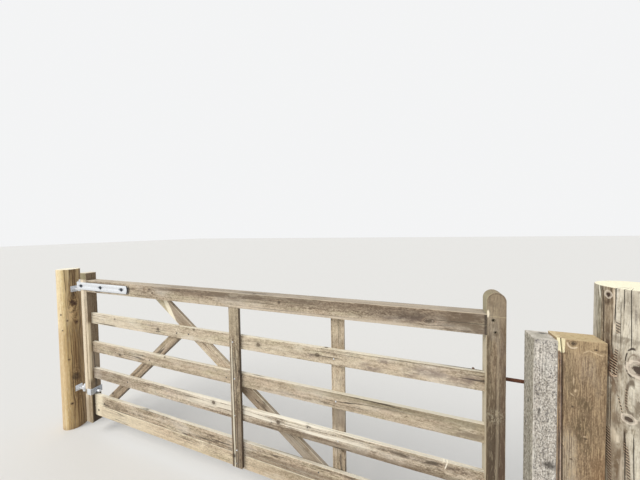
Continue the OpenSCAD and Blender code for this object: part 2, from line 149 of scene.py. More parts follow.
# %% A finish, with the steps that most finishes share
class Finish:
    """A material whose nodes are written as sums, with a colour that is laid on in coats."""

    def __init__(self, name):
        self.material = bpy.data.materials.new(name)
        self.material.use_nodes = True
        self.tree = self.material.node_tree
        self.tree.nodes.clear()
        self.place = self.node("ShaderNodeTexCoord", out="Object")
        self.colour = (1.0, 1.0, 1.0)

    def node(self, kind, settings=None, sockets=None, out=0):
        made = self.tree.nodes.new(kind)
        for key, value in (settings or {}).items():
            if key == "stops":
                for stop, colour in value[2:]:
                    made.color_ramp.elements.new(stop)
                for element, (stop, colour) in zip(made.color_ramp.elements, sorted(value)):
                    element.position, element.color = stop, (*colour, 1)
            else:
                setattr(made, key, value)
        for key, value in (sockets or {}).items():
            plug(self.tree, made.inputs[key], value)
        return Sum(self.tree, made.outputs[out]) if made.outputs else made

    def turned(self, place, turn=(0, 0, 0), shift=(0, 0, 0), size=(1, 1, 1)):
        return self.node("ShaderNodeMapping", None, {
            "Vector": place, "Location": shift, "Rotation": turn, "Scale": size})

    def parts(self, place):
        split = self.node("ShaderNodeSeparateXYZ", None, {"Vector": place})
        return [Sum(self.tree, s) for s in split.socket.node.outputs]

    def join(self, x, y, z):
        return self.node("ShaderNodeCombineXYZ", None, {"X": x, "Y": y, "Z": z})

    def speckle(self, place, size, detail=2.0, rough=0.5, twist=0.0):
        return self.node("ShaderNodeTexNoise", None, {
            "Vector": self.turned(place, size=size), "Scale": 1.0, "Detail": detail,
            "Roughness": rough, "Distortion": twist}, out="Fac")

    def ease(self, value, low, high, start=0.0, end=1.0):
        return self.node("ShaderNodeMapRange", {"interpolation_type": "SMOOTHSTEP"}, {
            "Value": value, "From Min": low, "From Max": high, "To Min": start, "To Max": end})

    def ramp(self, value, *stops):
        return self.node("ShaderNodeValToRGB", {"stops": list(stops)}, {"Fac": value})

    def mix(self, below, above, share, how="MIX"):
        return self.node("ShaderNodeMix", {"data_type": "RGBA", "blend_type": how},
                         {0: share, 6: below, 7: above}, out=2)

    def lay(self, shade, share, how="MIX"):
        """Lay a shade over the colour so far, by a share from 0 to 1."""
        self.colour = self.mix(self.colour, shade, share, how)

    def apart(self, across, along, centre, size):
        """How far a point lies from the centre of an ellipse: 1 on its edge."""
        return (((across - centre[0]) / size[0]) ** 2
                + ((along - centre[1]) / size[1]) ** 2) ** 0.5

    def spot(self, across, along, centre, size, soft=0.4):
        return self.ease(self.apart(across, along, centre, size), 1 + soft, 1 - soft)

    def ring(self, across, along, centre, size, thick):
        off_edge = abs(self.apart(across, along, centre, size) - 1.0)
        return self.ease(off_edge, thick, thick * 0.3)

    def surface(self, rough, metal=0.0, relief=None, depth=0.001, strength=1.0):
        sockets = {"Base Color": self.colour, "Roughness": rough, "Metallic": metal}
        if relief is not None:
            sockets["Normal"] = self.node("ShaderNodeBump", None, {
                "Height": relief, "Distance": depth, "Strength": strength})
        shader = self.node("ShaderNodeBsdfPrincipled", None, sockets)
        self.node("ShaderNodeOutputMaterial", None, {"Surface": shader})
        return self.material


print("shader helpers ready")

# %% [markdown]
# ## Wood
# Sawn timber shows the tree it came from: growth rings round a pith that lies somewhere beside
# the board, fine fibres along the grain, knots that the fibres flow round, and cracks that opened
# as it dried. One class makes all of it in coordinates that run along the grain, so the same
# sums serve a rail, a stile that stands upright and a brace that slopes. Weather then bleaches
# worn arrises, silvers parts of the faces and leaves dark streaks.


# %% Grain, rings, knots and cracks
RAIL_GRAIN, STILE_GRAIN = (0, 0, 0), (0, math.pi / 2, 0)
SPLIT_DARK, SEAM_DARK = (0.022, 0.016, 0.011), (0.035, 0.026, 0.018)
# A cell gets a knot if its chance is above a share, so a share above 1 gives none.
NO_KNOTS = 2.0


def toned(shade, factor):
    """A shade made darker or lighter by a factor, and never lighter than white."""
    return tuple(min(1, c * factor) for c in shade)


class Wood(Finish):
    """A finish with the grain's own coordinates and the patterns that follow them."""

    def __init__(self, name, turn, seed, pith=(0.09, 0.05), ring=0.004, knots=0.62, marked=()):
        super().__init__(name)
        self.x, self.y, self.z = self.parts(self.place)
        along = self.turned(self.bent_round(marked), turn=turn)
        shift = (seed * 3.7, seed * 1.3, seed * 0.7)
        run, side, deep = self.parts(self.turned(along, shift=shift))
        cells_run, cells_side = 2.2, 9
        cells = self.node("ShaderNodeTexVoronoi", {"voronoi_dimensions": "2D"}, {
            "Vector": self.join(run * cells_run, (side + deep) * cells_side, 0.0),
            "Scale": 1.0, "Randomness": 1.0}, out="Position")
        chance = Sum(self.tree, cells.socket.node.outputs["Color"])
        cell_run, cell_side, _ = self.parts(cells)
        off_run = run - cell_run / cells_run
        off_side = (side + deep) - cell_side / cells_side
        red, green, _ = self.parts(chance)
        far = (off_run ** 2 * 0.75 + off_side ** 2) ** 0.5
        present = self.ease(red, knots, knots + 0.02)
        size = green * 0.007 + 0.006
        self.knot = self.ease(far / size, 1.15, 0.8) * present
        self.halo = self.ease(far / size, 2.6, 0.9) * present
        bend = self.ease((off_run ** 2 * 0.2 + off_side ** 2) ** 0.5, 0.034, 0.0) * present
        bent_side = side - off_side * bend * 0.75
        self.flow = self.join(run, bent_side, deep)
        wander = self.speckle(self.flow, (1.3, 2, 2), 2.0)
        pith_side = bent_side - shift[1] - pith[0] + wander * 0.05
        pith_deep = deep - shift[2] - pith[1]
        from_pith = (pith_side * pith_side + pith_deep * pith_deep) ** 0.5
        wobble = self.speckle(self.flow, (3, 40, 40), 2.0)
        self.late = (from_pith / ring + wobble * 0.9).fraction() ** 2.5
        self.knot_rings = (far / 0.0022).fraction()
        self.fibre = self.speckle(self.flow, (9, 420, 420), 3.0, 0.6)
        self.streak = self.speckle(self.flow, (1.7, 62, 62), 4.0, 0.62, 0.25)
        self.band = self.speckle(self.flow, (0.8, 17, 17), 3.0, 0.55, 0.2)
        self.blotch = self.speckle(self.flow, (3.2, 9, 9), 4.0, 0.6)
        self.dash = self.speckle(self.flow, (20, 210, 210), 2.0, 0.55)
        self.cloud = self.speckle(self.flow, (14, 34, 34), 3.0, 0.62)
        self.mottle = self.speckle(self.flow, (42, 88, 88), 4.0, 0.68)
        self.grit = self.speckle(self.flow, (120, 230, 230), 2.0, 0.6)
        self.strand = self.speckle(self.flow, (19, 118, 118), 3.0, 0.62)
        seam = self.speckle(self.flow, (0.85, 34, 34), 1.0, 0.5)
        where = self.speckle(self.flow, (2.4, 14, 14), 1.0)
        self.crack = self.ease(abs(seam - 0.5), 0.016, 0.003) * self.ease(where, 0.5, 0.62)

    def vector(self, operation, first, second, out=0):
        key = "Scale" if operation == "SCALE" else 1
        return self.node("ShaderNodeVectorMath", {"operation": operation},
                         {0: first, key: second}, out)

    def bent_round(self, marked):
        """The place on the wood, bent so that the grain flows round the marked knots."""
        place = self.place
        self.core, self.rim, self.pale = 0.0, 0.0, 0.0
        for centre, across, along, size, squat in marked:
            facing = across.cross(along)
            side, run, deep = (self.vector("DOT_PRODUCT", self.place, tuple(way), "Value")
                               - centre.dot(way) for way in (across, along, facing))
            near = self.ease(abs(deep), 0.05, 0.025)
            rough = self.speckle(self.place, (95, 95, 95), 3.0, 0.6)
            far = ((side * side + (run * squat) ** 2) ** 0.5) / size + (rough - 0.5) * 1.2
            self.core = self.ease(far, 1.1, 0.8) * near + self.core
            self.rim = self.ease(abs(far - 1.4), 0.24, 0.06) * near + self.rim
            self.pale = self.ease(abs(far - 1.6), 0.6, 0.2) * near + self.pale
            reach = ((side * side + (run * 0.4) ** 2) ** 0.5) / size
            push = self.vector("SCALE", tuple(across), side * self.ease(reach, 5.0, 0.2) * near
                               * 0.85)
            place = self.vector("SUBTRACT", place, push)
        return place

    def facing(self, axis):
        normal = self.node("ShaderNodeNewGeometry", out="Normal")
        return self.parts(normal)["xyz".index(axis)]

    def up_facing(self):
        return self.facing("z")

    def worn(self):
        return self.node("ShaderNodeAttribute", {"attribute_name": "arris"}, out="Fac")

    def finished(self, dark, relief, depth, low=0.82, high=0.95, halo=0.3, ring=None):
        """Knots that were marked, the depth of split wood, and the surface itself."""
        if not isinstance(self.core, float):
            self.lay(ring or toned(dark, 1.9), self.pale * halo)
            self.lay(toned(dark, 0.3), self.rim * (0.25 if ring else 0.55))
            heart = self.mix(toned(dark, 0.3), toned(dark, 0.75), self.dash * 1.6 - 0.3)
            self.lay(heart, self.core * 0.92)
            relief = relief - self.rim * 0.6 + self.core * 0.5
        self.lay(SPLIT_DARK, self.ease(self.worn(), -0.08, -0.7))
        rough = self.ease(self.fibre, 0.3, 0.7, low, high)
        return self.surface(rough, relief=relief, depth=depth)


print("wood patterns ready")


# %% Weathered gate timber
def weathered(name, turn, seed, light, mid, dark, marks, green, crack=1.0, contrast=1.0,
              lines=0.22, hues=0.3, **more):
    """Grey-brown timber that has stood outside for years, with this board's own marks."""
    wood = Wood(name, turn, seed, **more)
    tone = wood.streak * 0.38 + wood.band * 0.16 + wood.blotch * 0.22 + wood.fibre * 0.1
    tone = tone + wood.cloud * 0.24 + wood.mottle * 0.26 + wood.grit * 0.44 + wood.strand * 0.22
    wood.colour = wood.ramp((tone - 1.01) * 1.15 * contrast + 0.52, (0.22, toned(dark, 0.8)),
                            (0.78, light), (0.36, dark), (0.55, mid))
    silver = tuple(0.5 * c + 0.5 * (sum(light) / 3) * 1.02 for c in light)
    wood.lay(silver, wood.ease(wood.blotch, 0.48, 0.7) * 0.45)
    clear = wood.ease(wood.cloud, 0.35, 0.6)
    wood.lay(toned(mid, 0.45), wood.late * clear * lines)
    wood.lay(toned(dark, 0.6), wood.ease(wood.dash, 0.57, 0.68) * 0.24)
    wood.lay(light, wood.ease(wood.dash, 0.42, 0.3) * 0.3)
    hue = wood.speckle(wood.flow, (5, 26, 26), 3.0, 0.6)
    wood.lay((1.0, 0.90, 0.88), wood.ease(hue, 0.5, 0.66) * hues, "MULTIPLY")
    wood.lay((0.90, 0.98, 0.86), wood.ease(hue, 0.5, 0.34) * hues, "MULTIPLY")
    algae = (mid[0] * 0.76, mid[1] * 0.78, mid[2] * 0.55)
    wood.lay(algae, wood.ease(wood.band, 0.55, 0.75) * green)
    marks(wood)
    wood.lay(toned(light, 1.15),
             wood.ease(wood.worn(), 0.2, 1.0) * wood.ease(wood.cloud, 0.3, 0.6) * 0.6)
    wood.lay(toned(dark, 0.42), wood.halo * 0.25)
    knot_colour = wood.mix(toned(dark, 0.4), toned(dark, 0.8), wood.knot_rings)
    wood.lay(knot_colour, wood.knot * 0.85)
    wood.lay(SEAM_DARK, wood.crack * 0.82 * crack)
    relief = (wood.streak * 0.6 + wood.fibre * 0.4 + wood.late * 0.4 - wood.crack * 2.2 * crack
              + wood.knot * 0.4 + wood.dash * 0.4 + wood.mottle * 0.9)
    return wood.finished(dark, relief, 0.0016)


print("weathered finish ready")

# %% [markdown]
# ## The sawn timbers
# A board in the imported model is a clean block. A real one has arrises that weather has rounded,
# here more and there less, faces that are never quite flat, and cracks along the grain. The mesh
# is swept along the grain from rings of points: the arris radius changes from ring to ring, and a
# crack is three columns of points whose middle one is pushed into the wood. Nothing is added to
# the outside, so each board stays inside its block.


# %% Sweep a sawn timber
def arris_radius(corner, u, arris, wear, seed):
    ragged = noise.noise(Vector((u * 9, corner * 7.3, seed))) + 0.5 * noise.noise(
        Vector((u * 31, corner * 3.1, seed + 5)))
    return arris + wear * max(0.0, ragged)


def flat_places(low, high, pitch, cracks):
    """Places of the point columns on one flat side, and which crack each belongs to."""
    count = max(1, round((high - low) / pitch))
    places = [(low + (high - low) * i / count, None) for i in range(count + 1)]
    for crack in cracks:
        margin = crack["wide"] + crack["wander"]
        places = [p for p in places if abs(p[0] - crack["at"]) > margin or p[1] is not None]
        places += [(crack["at"] + side * crack["wide"] / 2, (crack, side)) for side in (-1, 0, 1)]
    return sorted(places, key=lambda p: p[0])


def crack_depth(crack, u):
    start, end = crack["run"]
    if not start < u < end:
        return 0.0
    share = (u - start) / (end - start)
    ease = min(1.0, share * 6 + crack.get("open_start", 0), (1 - share) * 6
               + crack.get("open_end", 0))
    return crack["deep"] * ease * (0.75 + 0.5 * noise.noise(Vector((u * 13, crack["at"] * 90, 2))))


def sawn_ring(u, spans, arris, wear, rough, sides, seed, squeeze=1.0):
    """One ring of points round a timber at the place u, as (v, w, arris share)."""
    (v0, v1), (w0, w1) = spans
    centre = (v0 + v1) / 2
    corners = ((v1, w0, -90), (v1, w1, 0), (v0, w1, 90), (v0, w0, 180))
    ring = []
    for side, (cv, cw, start) in enumerate(corners):
        r = arris_radius(side, u, arris, wear, seed)
        mv, mw = cv - math.copysign(r, cv - centre), cw - math.copysign(r, cw - (w0 + w1) / 2)
        for step in range(5):
            a = math.radians(start + step * 22.5)
            ring.append((mv + r * math.cos(a), mw + r * math.sin(a), 1 - abs(step - 2) / 2))
        for place, crack in sides[side]:
            inward = rough * (0.5 + 0.5 * noise.noise(Vector((u * 5, place * 30, side + seed))))
            moved, share = place, 0.0
            if crack:
                gape = crack_depth(crack[0], u) if crack[1] == 0 else 0.0
                inward, share = inward + gape, -min(1.0, gape / 0.003)
                moved += crack[0]["wander"] * noise.noise(Vector((u * 3.1, place * 40, seed + 9)))
                moved += crack[0].get("lean", 0.0) * (u - 1.0)
            on_side = ((v1 - inward, moved), (moved, w1 - inward), (v0 + inward, moved),
                       (moved, w0 + inward))[side]
            ring.append((*on_side, share))
    return [(centre + (v - centre) * squeeze, w, edge) for v, w, edge in ring]


# %% Build a timber as a mesh
def loft(name, rings, arrises, body, finish, nodes, sharp=38):
    """A closed skin over rings of points, which rides on a body and stands for CAD nodes."""
    mesh = bpy.data.meshes.new(name)
    count = len(rings[0])
    points = [p for ring in rings for p in ring]
    faces = []
    for i in range(len(rings) - 1):
        for j in range(count):
            k = (j + 1) % count
            faces.append((i * count + j, i * count + k, (i + 1) * count + k, (i + 1) * count + j))
    last = (len(rings) - 1) * count
    for first, order in ((0, -1), (last, 1)):
        middle = sum((Vector(points[first + j]) for j in range(count)), Vector()) / count
        points.append(tuple(middle))
        hub = len(points) - 1
        for j in range(count):
            pair = (first + j, first + (j + 1) % count)
            faces.append((*pair[::order], hub))
    mesh.from_pydata(points, [], faces)
    layer = mesh.attributes.new("arris", "FLOAT", "POINT")
    values = [a for ring in arrises for a in ring] + [0.0, 0.0]
    layer.data.foreach_set("value", values)
    mesh.materials.append(finish)
    mesh.shade_smooth()
    mesh.set_sharp_from_angle(angle=math.radians(sharp))
    piece = linked(name, mesh)
    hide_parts(*nodes)
    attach(piece, body)
    print(name, "faces", len(faces))
    return piece


# Degrees up a round head, closer together near its crown.
HEAD_TURNS = (8, 16, 24, 32, 40, 48, 56, 63, 70, 76, 82, 87)


def sawn_timber(node, body, finish, axes, u_span, spans, ends=None, cracks=(), seed=0,
                arris=0.0022, wear=0.003, rough=0.0006, pitch=0.011, step=0.022, head=None,
                carve=None):
    """A swept timber that stands for the CAD node of the same name."""
    (v0, v1), (w0, w1) = spans
    margin = arris + wear * 1.5 + 0.0002
    limits = ((w0, w1), (v0, v1), (w0, w1), (v0, v1))
    sides = []
    for side, (low, high) in enumerate(limits):
        own = [c for c in cracks if c["side"] == side]
        places = flat_places(low + margin, high - margin, pitch, own)
        sides.append(places if side in (0, 3) else places[::-1])
    count = max(2, round((u_span[1] - u_span[0]) / step))
    stations = [(u_span[0] + (u_span[1] - u_span[0]) * i / count, 1.0) for i in range(count + 1)]
    if head:
        top = stations[-1][0]
        stations += [(top + head * math.sin(t), math.cos(t))
                     for t in map(math.radians, HEAD_TURNS)]
    lip = 0.0012
    rings, arrises = [], []
    for number, (u, squeeze) in enumerate(stations):
        flat = sawn_ring(u, spans, arris, wear, rough, sides, seed, squeeze)
        ring = []
        for v, w, _ in flat:
            along = u
            if carve:
                v, w = carve(u, v, w)
            if ends:
                share = (u - u_span[0]) / (u_span[1] - u_span[0])
                start, end = ends[0](w), ends[1](w)
                along = start + share * (end - start)
            ring.append((along, v, w))
        if number in (0, len(stations) - 1):
            sign = 1 if number == 0 else -1
            inner = [(a + sign * lip, v, w) for a, v, w in ring]
            cv, cw = (v0 + v1) / 2, (w0 + w1) / 2
            shrunk = [(a, cv + (v - cv) * (1 - 2 * lip / (v1 - v0)),
                       cw + (w - cw) * (1 - 2 * lip / (w1 - w0))) for a, v, w in ring]
            pair = [shrunk, inner] if number == 0 else [inner, shrunk]
            rings += pair
            arrises += [[1.0] * len(ring), [max(0.4, e) if e >= 0 else e
                                            for _, _, e in flat]][::sign]
        else:
            rings.append(ring)
            arrises.append([e for _, _, e in flat])
    placed = [[tuple(axes[0] * a + axes[1] * v + axes[2] * w) for a, v, w in ring]
              for ring in rings]
    return loft(node + "_timber", placed, arrises, body, finish, [node])


X, Y, Z = Vector((1, 0, 0)), Vector((0, 1, 0)), Vector((0, 0, 1))
ALONG_X, ALONG_Z = (X, Y, Z), (Z, X, Y)
print("timber builder ready")


# %% Reading a block's size
def block(node, axes):
    """The three spans of a CAD block along the given axes."""
    low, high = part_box(node)
    return [tuple(sorted((low.dot(axis), high.dot(axis)))) for axis in axes]


# Sides are counted round the sweep of a timber that lies, and of one that stands.
LYING_FIELD, LYING_TOP, LYING_NEAR = 0, 1, 2
STANDING_RIGHT, STANDING_LEFT, STANDING_NEAR = 0, 2, 3


def crack(side, at, run, deep=0.006, wide=0.0022, wander=0.003, **more):
    return dict(side=side, at=at, run=run, deep=deep, wide=wide, wander=wander, **more)


print("top rail block", [tuple(round(e, 3) for e in s) for s in block("top_rail", ALONG_X)])


# %% Colours
def tint(red, green, blue):
    """A colour as a painter's mixing chart gives it, 0 to 255, made ready for the renderer."""
    values = [c / 255 for c in (red, green, blue)]
    return tuple(c / 12.92 if c <= 0.04045 else ((c + 0.055) / 1.055) ** 2.4 for c in values)


def near_knots(y, places, grain="z"):
    """Knots on a near face, as (x, z, size, squat), for grain that runs along z or x."""
    across, along = (X, Z) if grain == "z" else (Z, X)
    return [(Vector((x, y, z)), across, along, size, squat) for x, z, size, squat in places]


print("straw", [round(c, 3) for c in tint(192, 178, 152)])

# %% [markdown]
# ## The top rail
# The top rail is the thick one. Rain and hands have darkened its upper half to a brown that
# starts a third of the way along, while the lower half stays pale. The edge between the two
# is ragged because it follows the streaks of the grain, so the mask is made of height plus streak.


# %% Top rail
NEAR_FACE = -0.0375
RAIL_UNDER, RAIL_TOP = 1.225, 1.320
# The tenons lie hidden in the stiles, so the swept run stops just inside them.
RAIL_RUN = (0.316, 3.174)


def top_rail_marks(wood):
    ragged = wood.z + (wood.band - 0.5) * 0.11 + (wood.streak - 0.5) * 0.07
    shade = wood.ease(ragged, 1.260, 1.288) * wood.ease(wood.x, 0.85, 1.35)
    deep = wood.ease(wood.cloud + wood.streak * 0.5, 0.62, 0.86)
    fade = wood.ease(wood.x, 2.3, 2.65, 1.0, 0.54)
    wood.lay(tint(110, 93, 76), shade * (deep * 0.4 + 0.46) * fade)
    stain = wood.spot(wood.x, wood.z, (2.84, 1.272), (0.17, 0.028), 0.8)
    wood.lay(tint(74, 56, 48), stain * (wood.ease(wood.cloud, 0.4, 0.6) * 0.4 + 0.4))
    low = wood.ease(ragged, 1.252, 1.236) * wood.ease(wood.x, 1.6, 2.1)
    wood.lay(tint(218, 203, 182), low * wood.ease(wood.x, 3.02, 2.94) * 0.62)
    end = wood.ease(wood.x + (wood.band - 0.5) * 0.1, 2.96, 3.03)
    wood.lay(tint(98, 80, 62), end * (wood.ease(wood.cloud, 0.34, 0.6) * 0.5 + 0.3))
    # Painted shade in the gap where the rail meets the shutting stile.
    wood.lay(tint(44, 34, 26), wood.ease(wood.x, 3.157, 3.168) * 0.8)
    # Painted shadows along the upper and lower edges of the hinge band.
    for z in (1.3045, 1.2405):
        line = wood.ease(abs(wood.z - z + (wood.cloud - 0.5) * 0.003), 0.0035, 0.0012)
        wood.lay(tint(84, 66, 54), line * wood.ease(wood.x, 0.85, 0.82) * 0.6)
    # Painted shadow on the rail just past the rounded end of the band.
    strap_end_shadow = wood.ring(wood.x, wood.z, (0.808, 1.2725), (0.035, 0.033), 0.32)
    wood.lay(tint(50, 44, 44), strap_end_shadow * wood.ease(wood.x, 0.828, 0.836) * 0.9)
    # Painted highlight: faces that look up are made paler.
    wood.lay(tint(196, 184, 166), wood.ease(wood.up_facing(), 0.6, 0.9) * 0.5)


top_rail_finish = weathered(
    "top_rail_wood", RAIL_GRAIN, 3, tint(224, 209, 184), tint(190, 173, 149),
    tint(128, 111, 92), top_rail_marks, 0.04, contrast=1.3, marked=near_knots(NEAR_FACE, (
        (1.089, 1.269, 0.006, 0.8), (2.935, 1.264, 0.008, 0.5), (2.13, 1.287, 0.006, 0.7)), "x"))
across, upright = (NEAR_FACE, -NEAR_FACE), (RAIL_UNDER, RAIL_TOP)
sawn_timber("top_rail", "gate", top_rail_finish, ALONG_X, RAIL_RUN,
            (across, upright), seed=1, arris=0.003, wear=0.004, cracks=[
                crack(LYING_NEAR, 1.2705, (2.93, 3.2), 0.012, 0.0028, open_end=1),
                crack(LYING_NEAR, 1.2900, (1.46, 2.34), 0.006, 0.0016),
                crack(LYING_NEAR, 1.2480, (1.02, 1.5), 0.005, 0.0014),
                crack(LYING_TOP, 0.0060, (0.8, 2.2), 0.010, 0.0030, 0.005),
                crack(LYING_TOP, -0.0140, (2.2, 2.95), 0.008, 0.0022),
                crack(LYING_FIELD, 1.2800, (0.6, 1.9), 0.008, 0.0022)])

# %% [markdown]
# ## Four rails and the bottom board
# The lower rails are boards of one section, but no two weathered alike. The second is pale and
# silvery, the fourth has a long bleached streak, the fifth, like the others, has a painted
# highlight on its upper edge, and the bottom board is yellower where soil splashed it. Each has
# its own seed, so that its knots, rings and worn arrises differ.


# %% Marks of the lower rails
def lit_edge(wood):
    # Painted highlight: faces that look up are made paler.
    wood.lay(tint(240, 234, 216), wood.ease(wood.up_facing(), 0.5, 0.9) * 0.6)


def smudge(wood, places, shade, amount):
    """Soft stains on a near face, as (x, z, reach along x, reach along z)."""
    cloudy = wood.ease(wood.cloud, 0.38, 0.6)
    for x, z, wide, tall in places:
        wood.lay(shade, wood.spot(wood.x, wood.z, (x, z), (wide, tall), 0.8) * cloudy * amount)


def second_marks(wood):
    line = wood.z + (wood.band - 0.5) * 0.03
    wood.lay(tint(120, 104, 84), wood.ease(line, 1.028, 1.038) * wood.ease(wood.x, 2.5, 2.9) * 0.6)
    smudge(wood,
           ((2.93, 1.0, 0.09, 0.02), (2.72, 1.01, 0.03, 0.02), (3.1, 0.99, 0.08, 0.03),
            (2.30, 0.99, 0.03, 0.02), (2.66, 0.98, 0.05, 0.02),
            (2.83, 0.975, 0.05, 0.015)), tint(124, 107, 98), 0.8)
    wood.lay(tint(240, 228, 204), wood.ease(wood.x, 1.1, 0.7) * 0.35)
    lit_edge(wood)


def third_marks(wood):
    ragged = wood.z + (wood.streak - 0.5) * 0.06
    wood.lay(tint(128, 118, 92), wood.ease(ragged, 0.765, 0.79) * wood.ease(wood.x, 2.1, 2.5)
             * 0.5)
    smudge(wood, ((3.12, 0.74, 0.12, 0.04), (2.75, 0.78, 0.1, 0.015)), tint(112, 98, 78), 0.7)
    lit_edge(wood)


def fourth_marks(wood):
    ragged = wood.z + (wood.streak - 0.5) * 0.06 + (wood.band - 0.5) * 0.05
    bleached = wood.ease(ragged, 0.512, 0.53) * wood.ease(wood.x, 1.15, 1.5)
    bleached = bleached * wood.ease(wood.x, 2.85, 2.4)
    wood.lay(tint(246, 238, 220), bleached * wood.ease(wood.streak, 0.4, 0.55)
             * wood.ease(wood.x, 1.5, 2.0, 0.6, 0.9))
    low = wood.ease(ragged, 0.518, 0.498) * wood.ease(wood.x, 1.7, 2.1)
    wood.lay(tint(112, 96, 76), low * 0.65)
    wood.lay(tint(132, 116, 96), wood.ease(wood.x, 0.95, 0.6) * 0.3)
    smudge(wood, ((2.29, 0.566, 0.016, 0.007), (2.9, 0.55, 0.2, 0.012)), tint(76, 64, 50), 0.9)
    fork = wood.ease(abs(wood.x - 3.014 - (wood.z - 0.562) * 0.35
                         + (wood.cloud - 0.5) * 0.008), 0.0042, 0.0018)
    fork = fork * wood.ease(abs(wood.z - 0.562), 0.024, 0.018)
    branch = wood.ease(abs(wood.x - 3.001 - (wood.z - 0.572) * 1.4), 0.006, 0.003)
    branch = branch * wood.ease(abs(wood.z - 0.576), 0.009, 0.006)
    wood.lay(tint(252, 242, 222), fork * 0.9)
    wood.lay(tint(250, 238, 214), branch * 0.8)
    lit_edge(wood)


def fifth_marks(wood):
    end = wood.ease(wood.x + wood.band * 0.1, 0.50, 0.44)
    wood.lay(tint(248, 236, 208), end * 0.82)
    nail = wood.spot(wood.x, wood.z, (0.440, 0.286), (0.0075, 0.0065), 0.4)
    wood.lay(tint(46, 36, 28), nail * 0.8)
    low = wood.ease(wood.z + (wood.streak - 0.5) * 0.05, 0.318, 0.296)
    wood.lay(tint(118, 100, 80), low * wood.ease(wood.x, 1.7, 2.0) * 0.5)
    lit_edge(wood)


def board_marks(wood):
    soil = wood.ease(wood.z + wood.blotch * 0.06, 0.235, 0.2)
    wood.lay(tint(214, 194, 160), soil * 0.3)
    wood.lay(tint(240, 226, 198), wood.ease(wood.x, 1.2, 0.8) * 0.45)
    wood.lay(tint(142, 124, 98), wood.ease(wood.x, 1.8, 2.1) * 0.3)
    end = wood.ease(wood.x + wood.band * 0.1, 0.47, 0.4)
    wood.lay(tint(246, 234, 206), end * 0.7)
    nail_z = wood.z + (wood.cloud - 0.5) * 0.01
    nail = wood.spot(wood.x, nail_z, (0.362, 0.216), (0.010, 0.009), 0.5)
    wood.lay(tint(52, 42, 32), nail * 0.8)
    lit_edge(wood)


print("rail marks ready")

# %% Lower rails
rail_kinds = {
    "second_rail": (11, tint(243, 229, 204), tint(208, 192, 167), tint(142, 125, 104),
                    second_marks, [(1.0350, (2.3, 3.0), 0.006), (0.9850, (1.9, 2.35), 0.004),
                                   (1.0120, (0.6, 1.1), 0.004)]),
    "third_rail": (17, tint(234, 218, 193), tint(197, 180, 155), tint(134, 117, 96),
                   third_marks, [(0.7420, (0.34, 0.72), 0.004), (0.7750, (2.0, 2.9), 0.005)]),
    "fourth_rail": (23, tint(230, 214, 191), tint(188, 171, 148), tint(120, 103, 84),
                    fourth_marks, [(0.5480, (1.98, 2.62), 0.007), (0.5300, (2.5, 3.18), 0.006),
                                   (0.5620, (0.6, 1.5), 0.004)]),
    "fifth_rail": (29, tint(230, 214, 188), tint(189, 171, 146), tint(120, 103, 83),
                   fifth_marks, [(0.3120, (0.7, 1.6), 0.005), (0.2800, (1.9, 2.6), 0.004)]),
    "bottom_board": (31, tint(247, 230, 202), tint(216, 198, 170), tint(152, 134, 110),
                     board_marks, [(0.2120, (0.9, 1.5), 0.004), (0.2250, (2.2, 2.8), 0.005)]),
}
END_GAP = 0.004
for rail, (seed, light, mid, dark, marks, splits) in rail_kinds.items():
    finish = weathered(rail + "_wood", RAIL_GRAIN, seed, light, mid, dark, marks, 0.06,
                       contrast=1.4 if rail in ("fourth_rail", "fifth_rail") else 1.0,
                       pith=(0.05 + seed * 0.002, 0.03), ring=0.0045)
    (x0, x1), y_span, z_span = block(rail, ALONG_X)
    sawn_timber(rail, "gate", finish, ALONG_X, (x0 + END_GAP, x1 - END_GAP),
                (y_span, z_span), seed=seed, rough=0.0008,
                cracks=[crack(LYING_NEAR, *split, wide=0.0018) for split in splits])

# %% [markdown]
# ## Uprights and braces
# The near upright stands on the near side of the rails, the far one behind them. Two braces
# carry the gate's weight down to the hinge: the long one runs from the top rail to the foot of
# the far upright, the short one from the foot of the hanging stile up to the long one. Their
# ends are cut to meet what they lean on, so each end is a line across the board instead of a
# square cut.


# %% Uprights
def near_marks(wood):
    wood.lay(tint(206, 193, 166), wood.ease(wood.z, 0.95, 1.2) * 0.3)
    wood.lay(tint(102, 82, 60), wood.ease(wood.z, 0.68, 0.48) * 0.5)
    ridge = wood.ease(abs(wood.x - 1.781 + (wood.band - 0.5) * 0.03), 0.006, 0.002)
    wood.lay(tint(238, 230, 208), ridge * wood.ease(wood.z, 1.06, 0.95) * 0.7)
    for at in (1.789, 1.806, 1.772):
        line = wood.ease(abs(wood.x - at + (wood.band - 0.5) * 0.03), 0.0034, 0.001)
        wood.lay(tint(62, 50, 38), line * wood.ease(wood.z, 1.02, 0.88)
                 * wood.ease(wood.cloud, 0.34, 0.5) * 0.85)
    # Painted shade on the side that looks along +X, away from the lamp.
    wood.lay(tint(66, 52, 40), wood.ease(wood.facing("x"), 0.6, 0.9) * 0.75)


def far_marks(wood):
    # Painted shade on the far upright between the third and fourth rails.
    dusk = wood.ease(abs(wood.z - 0.645 + (wood.cloud - 0.5) * 0.03), 0.07, 0.035)
    wood.lay(tint(104, 88, 68), dusk * 0.45)
    # Painted shade on the far upright just above the second rail.
    above = (wood.ease(wood.z + (wood.cloud - 0.5) * 0.03, 1.13, 1.07)
             * wood.ease(wood.z, 1.0, 1.02))
    wood.lay(tint(104, 88, 68), above * 0.35)
    wood.lay(tint(112, 93, 72), wood.ease(wood.z, 0.76, 0.72) * 0.32)


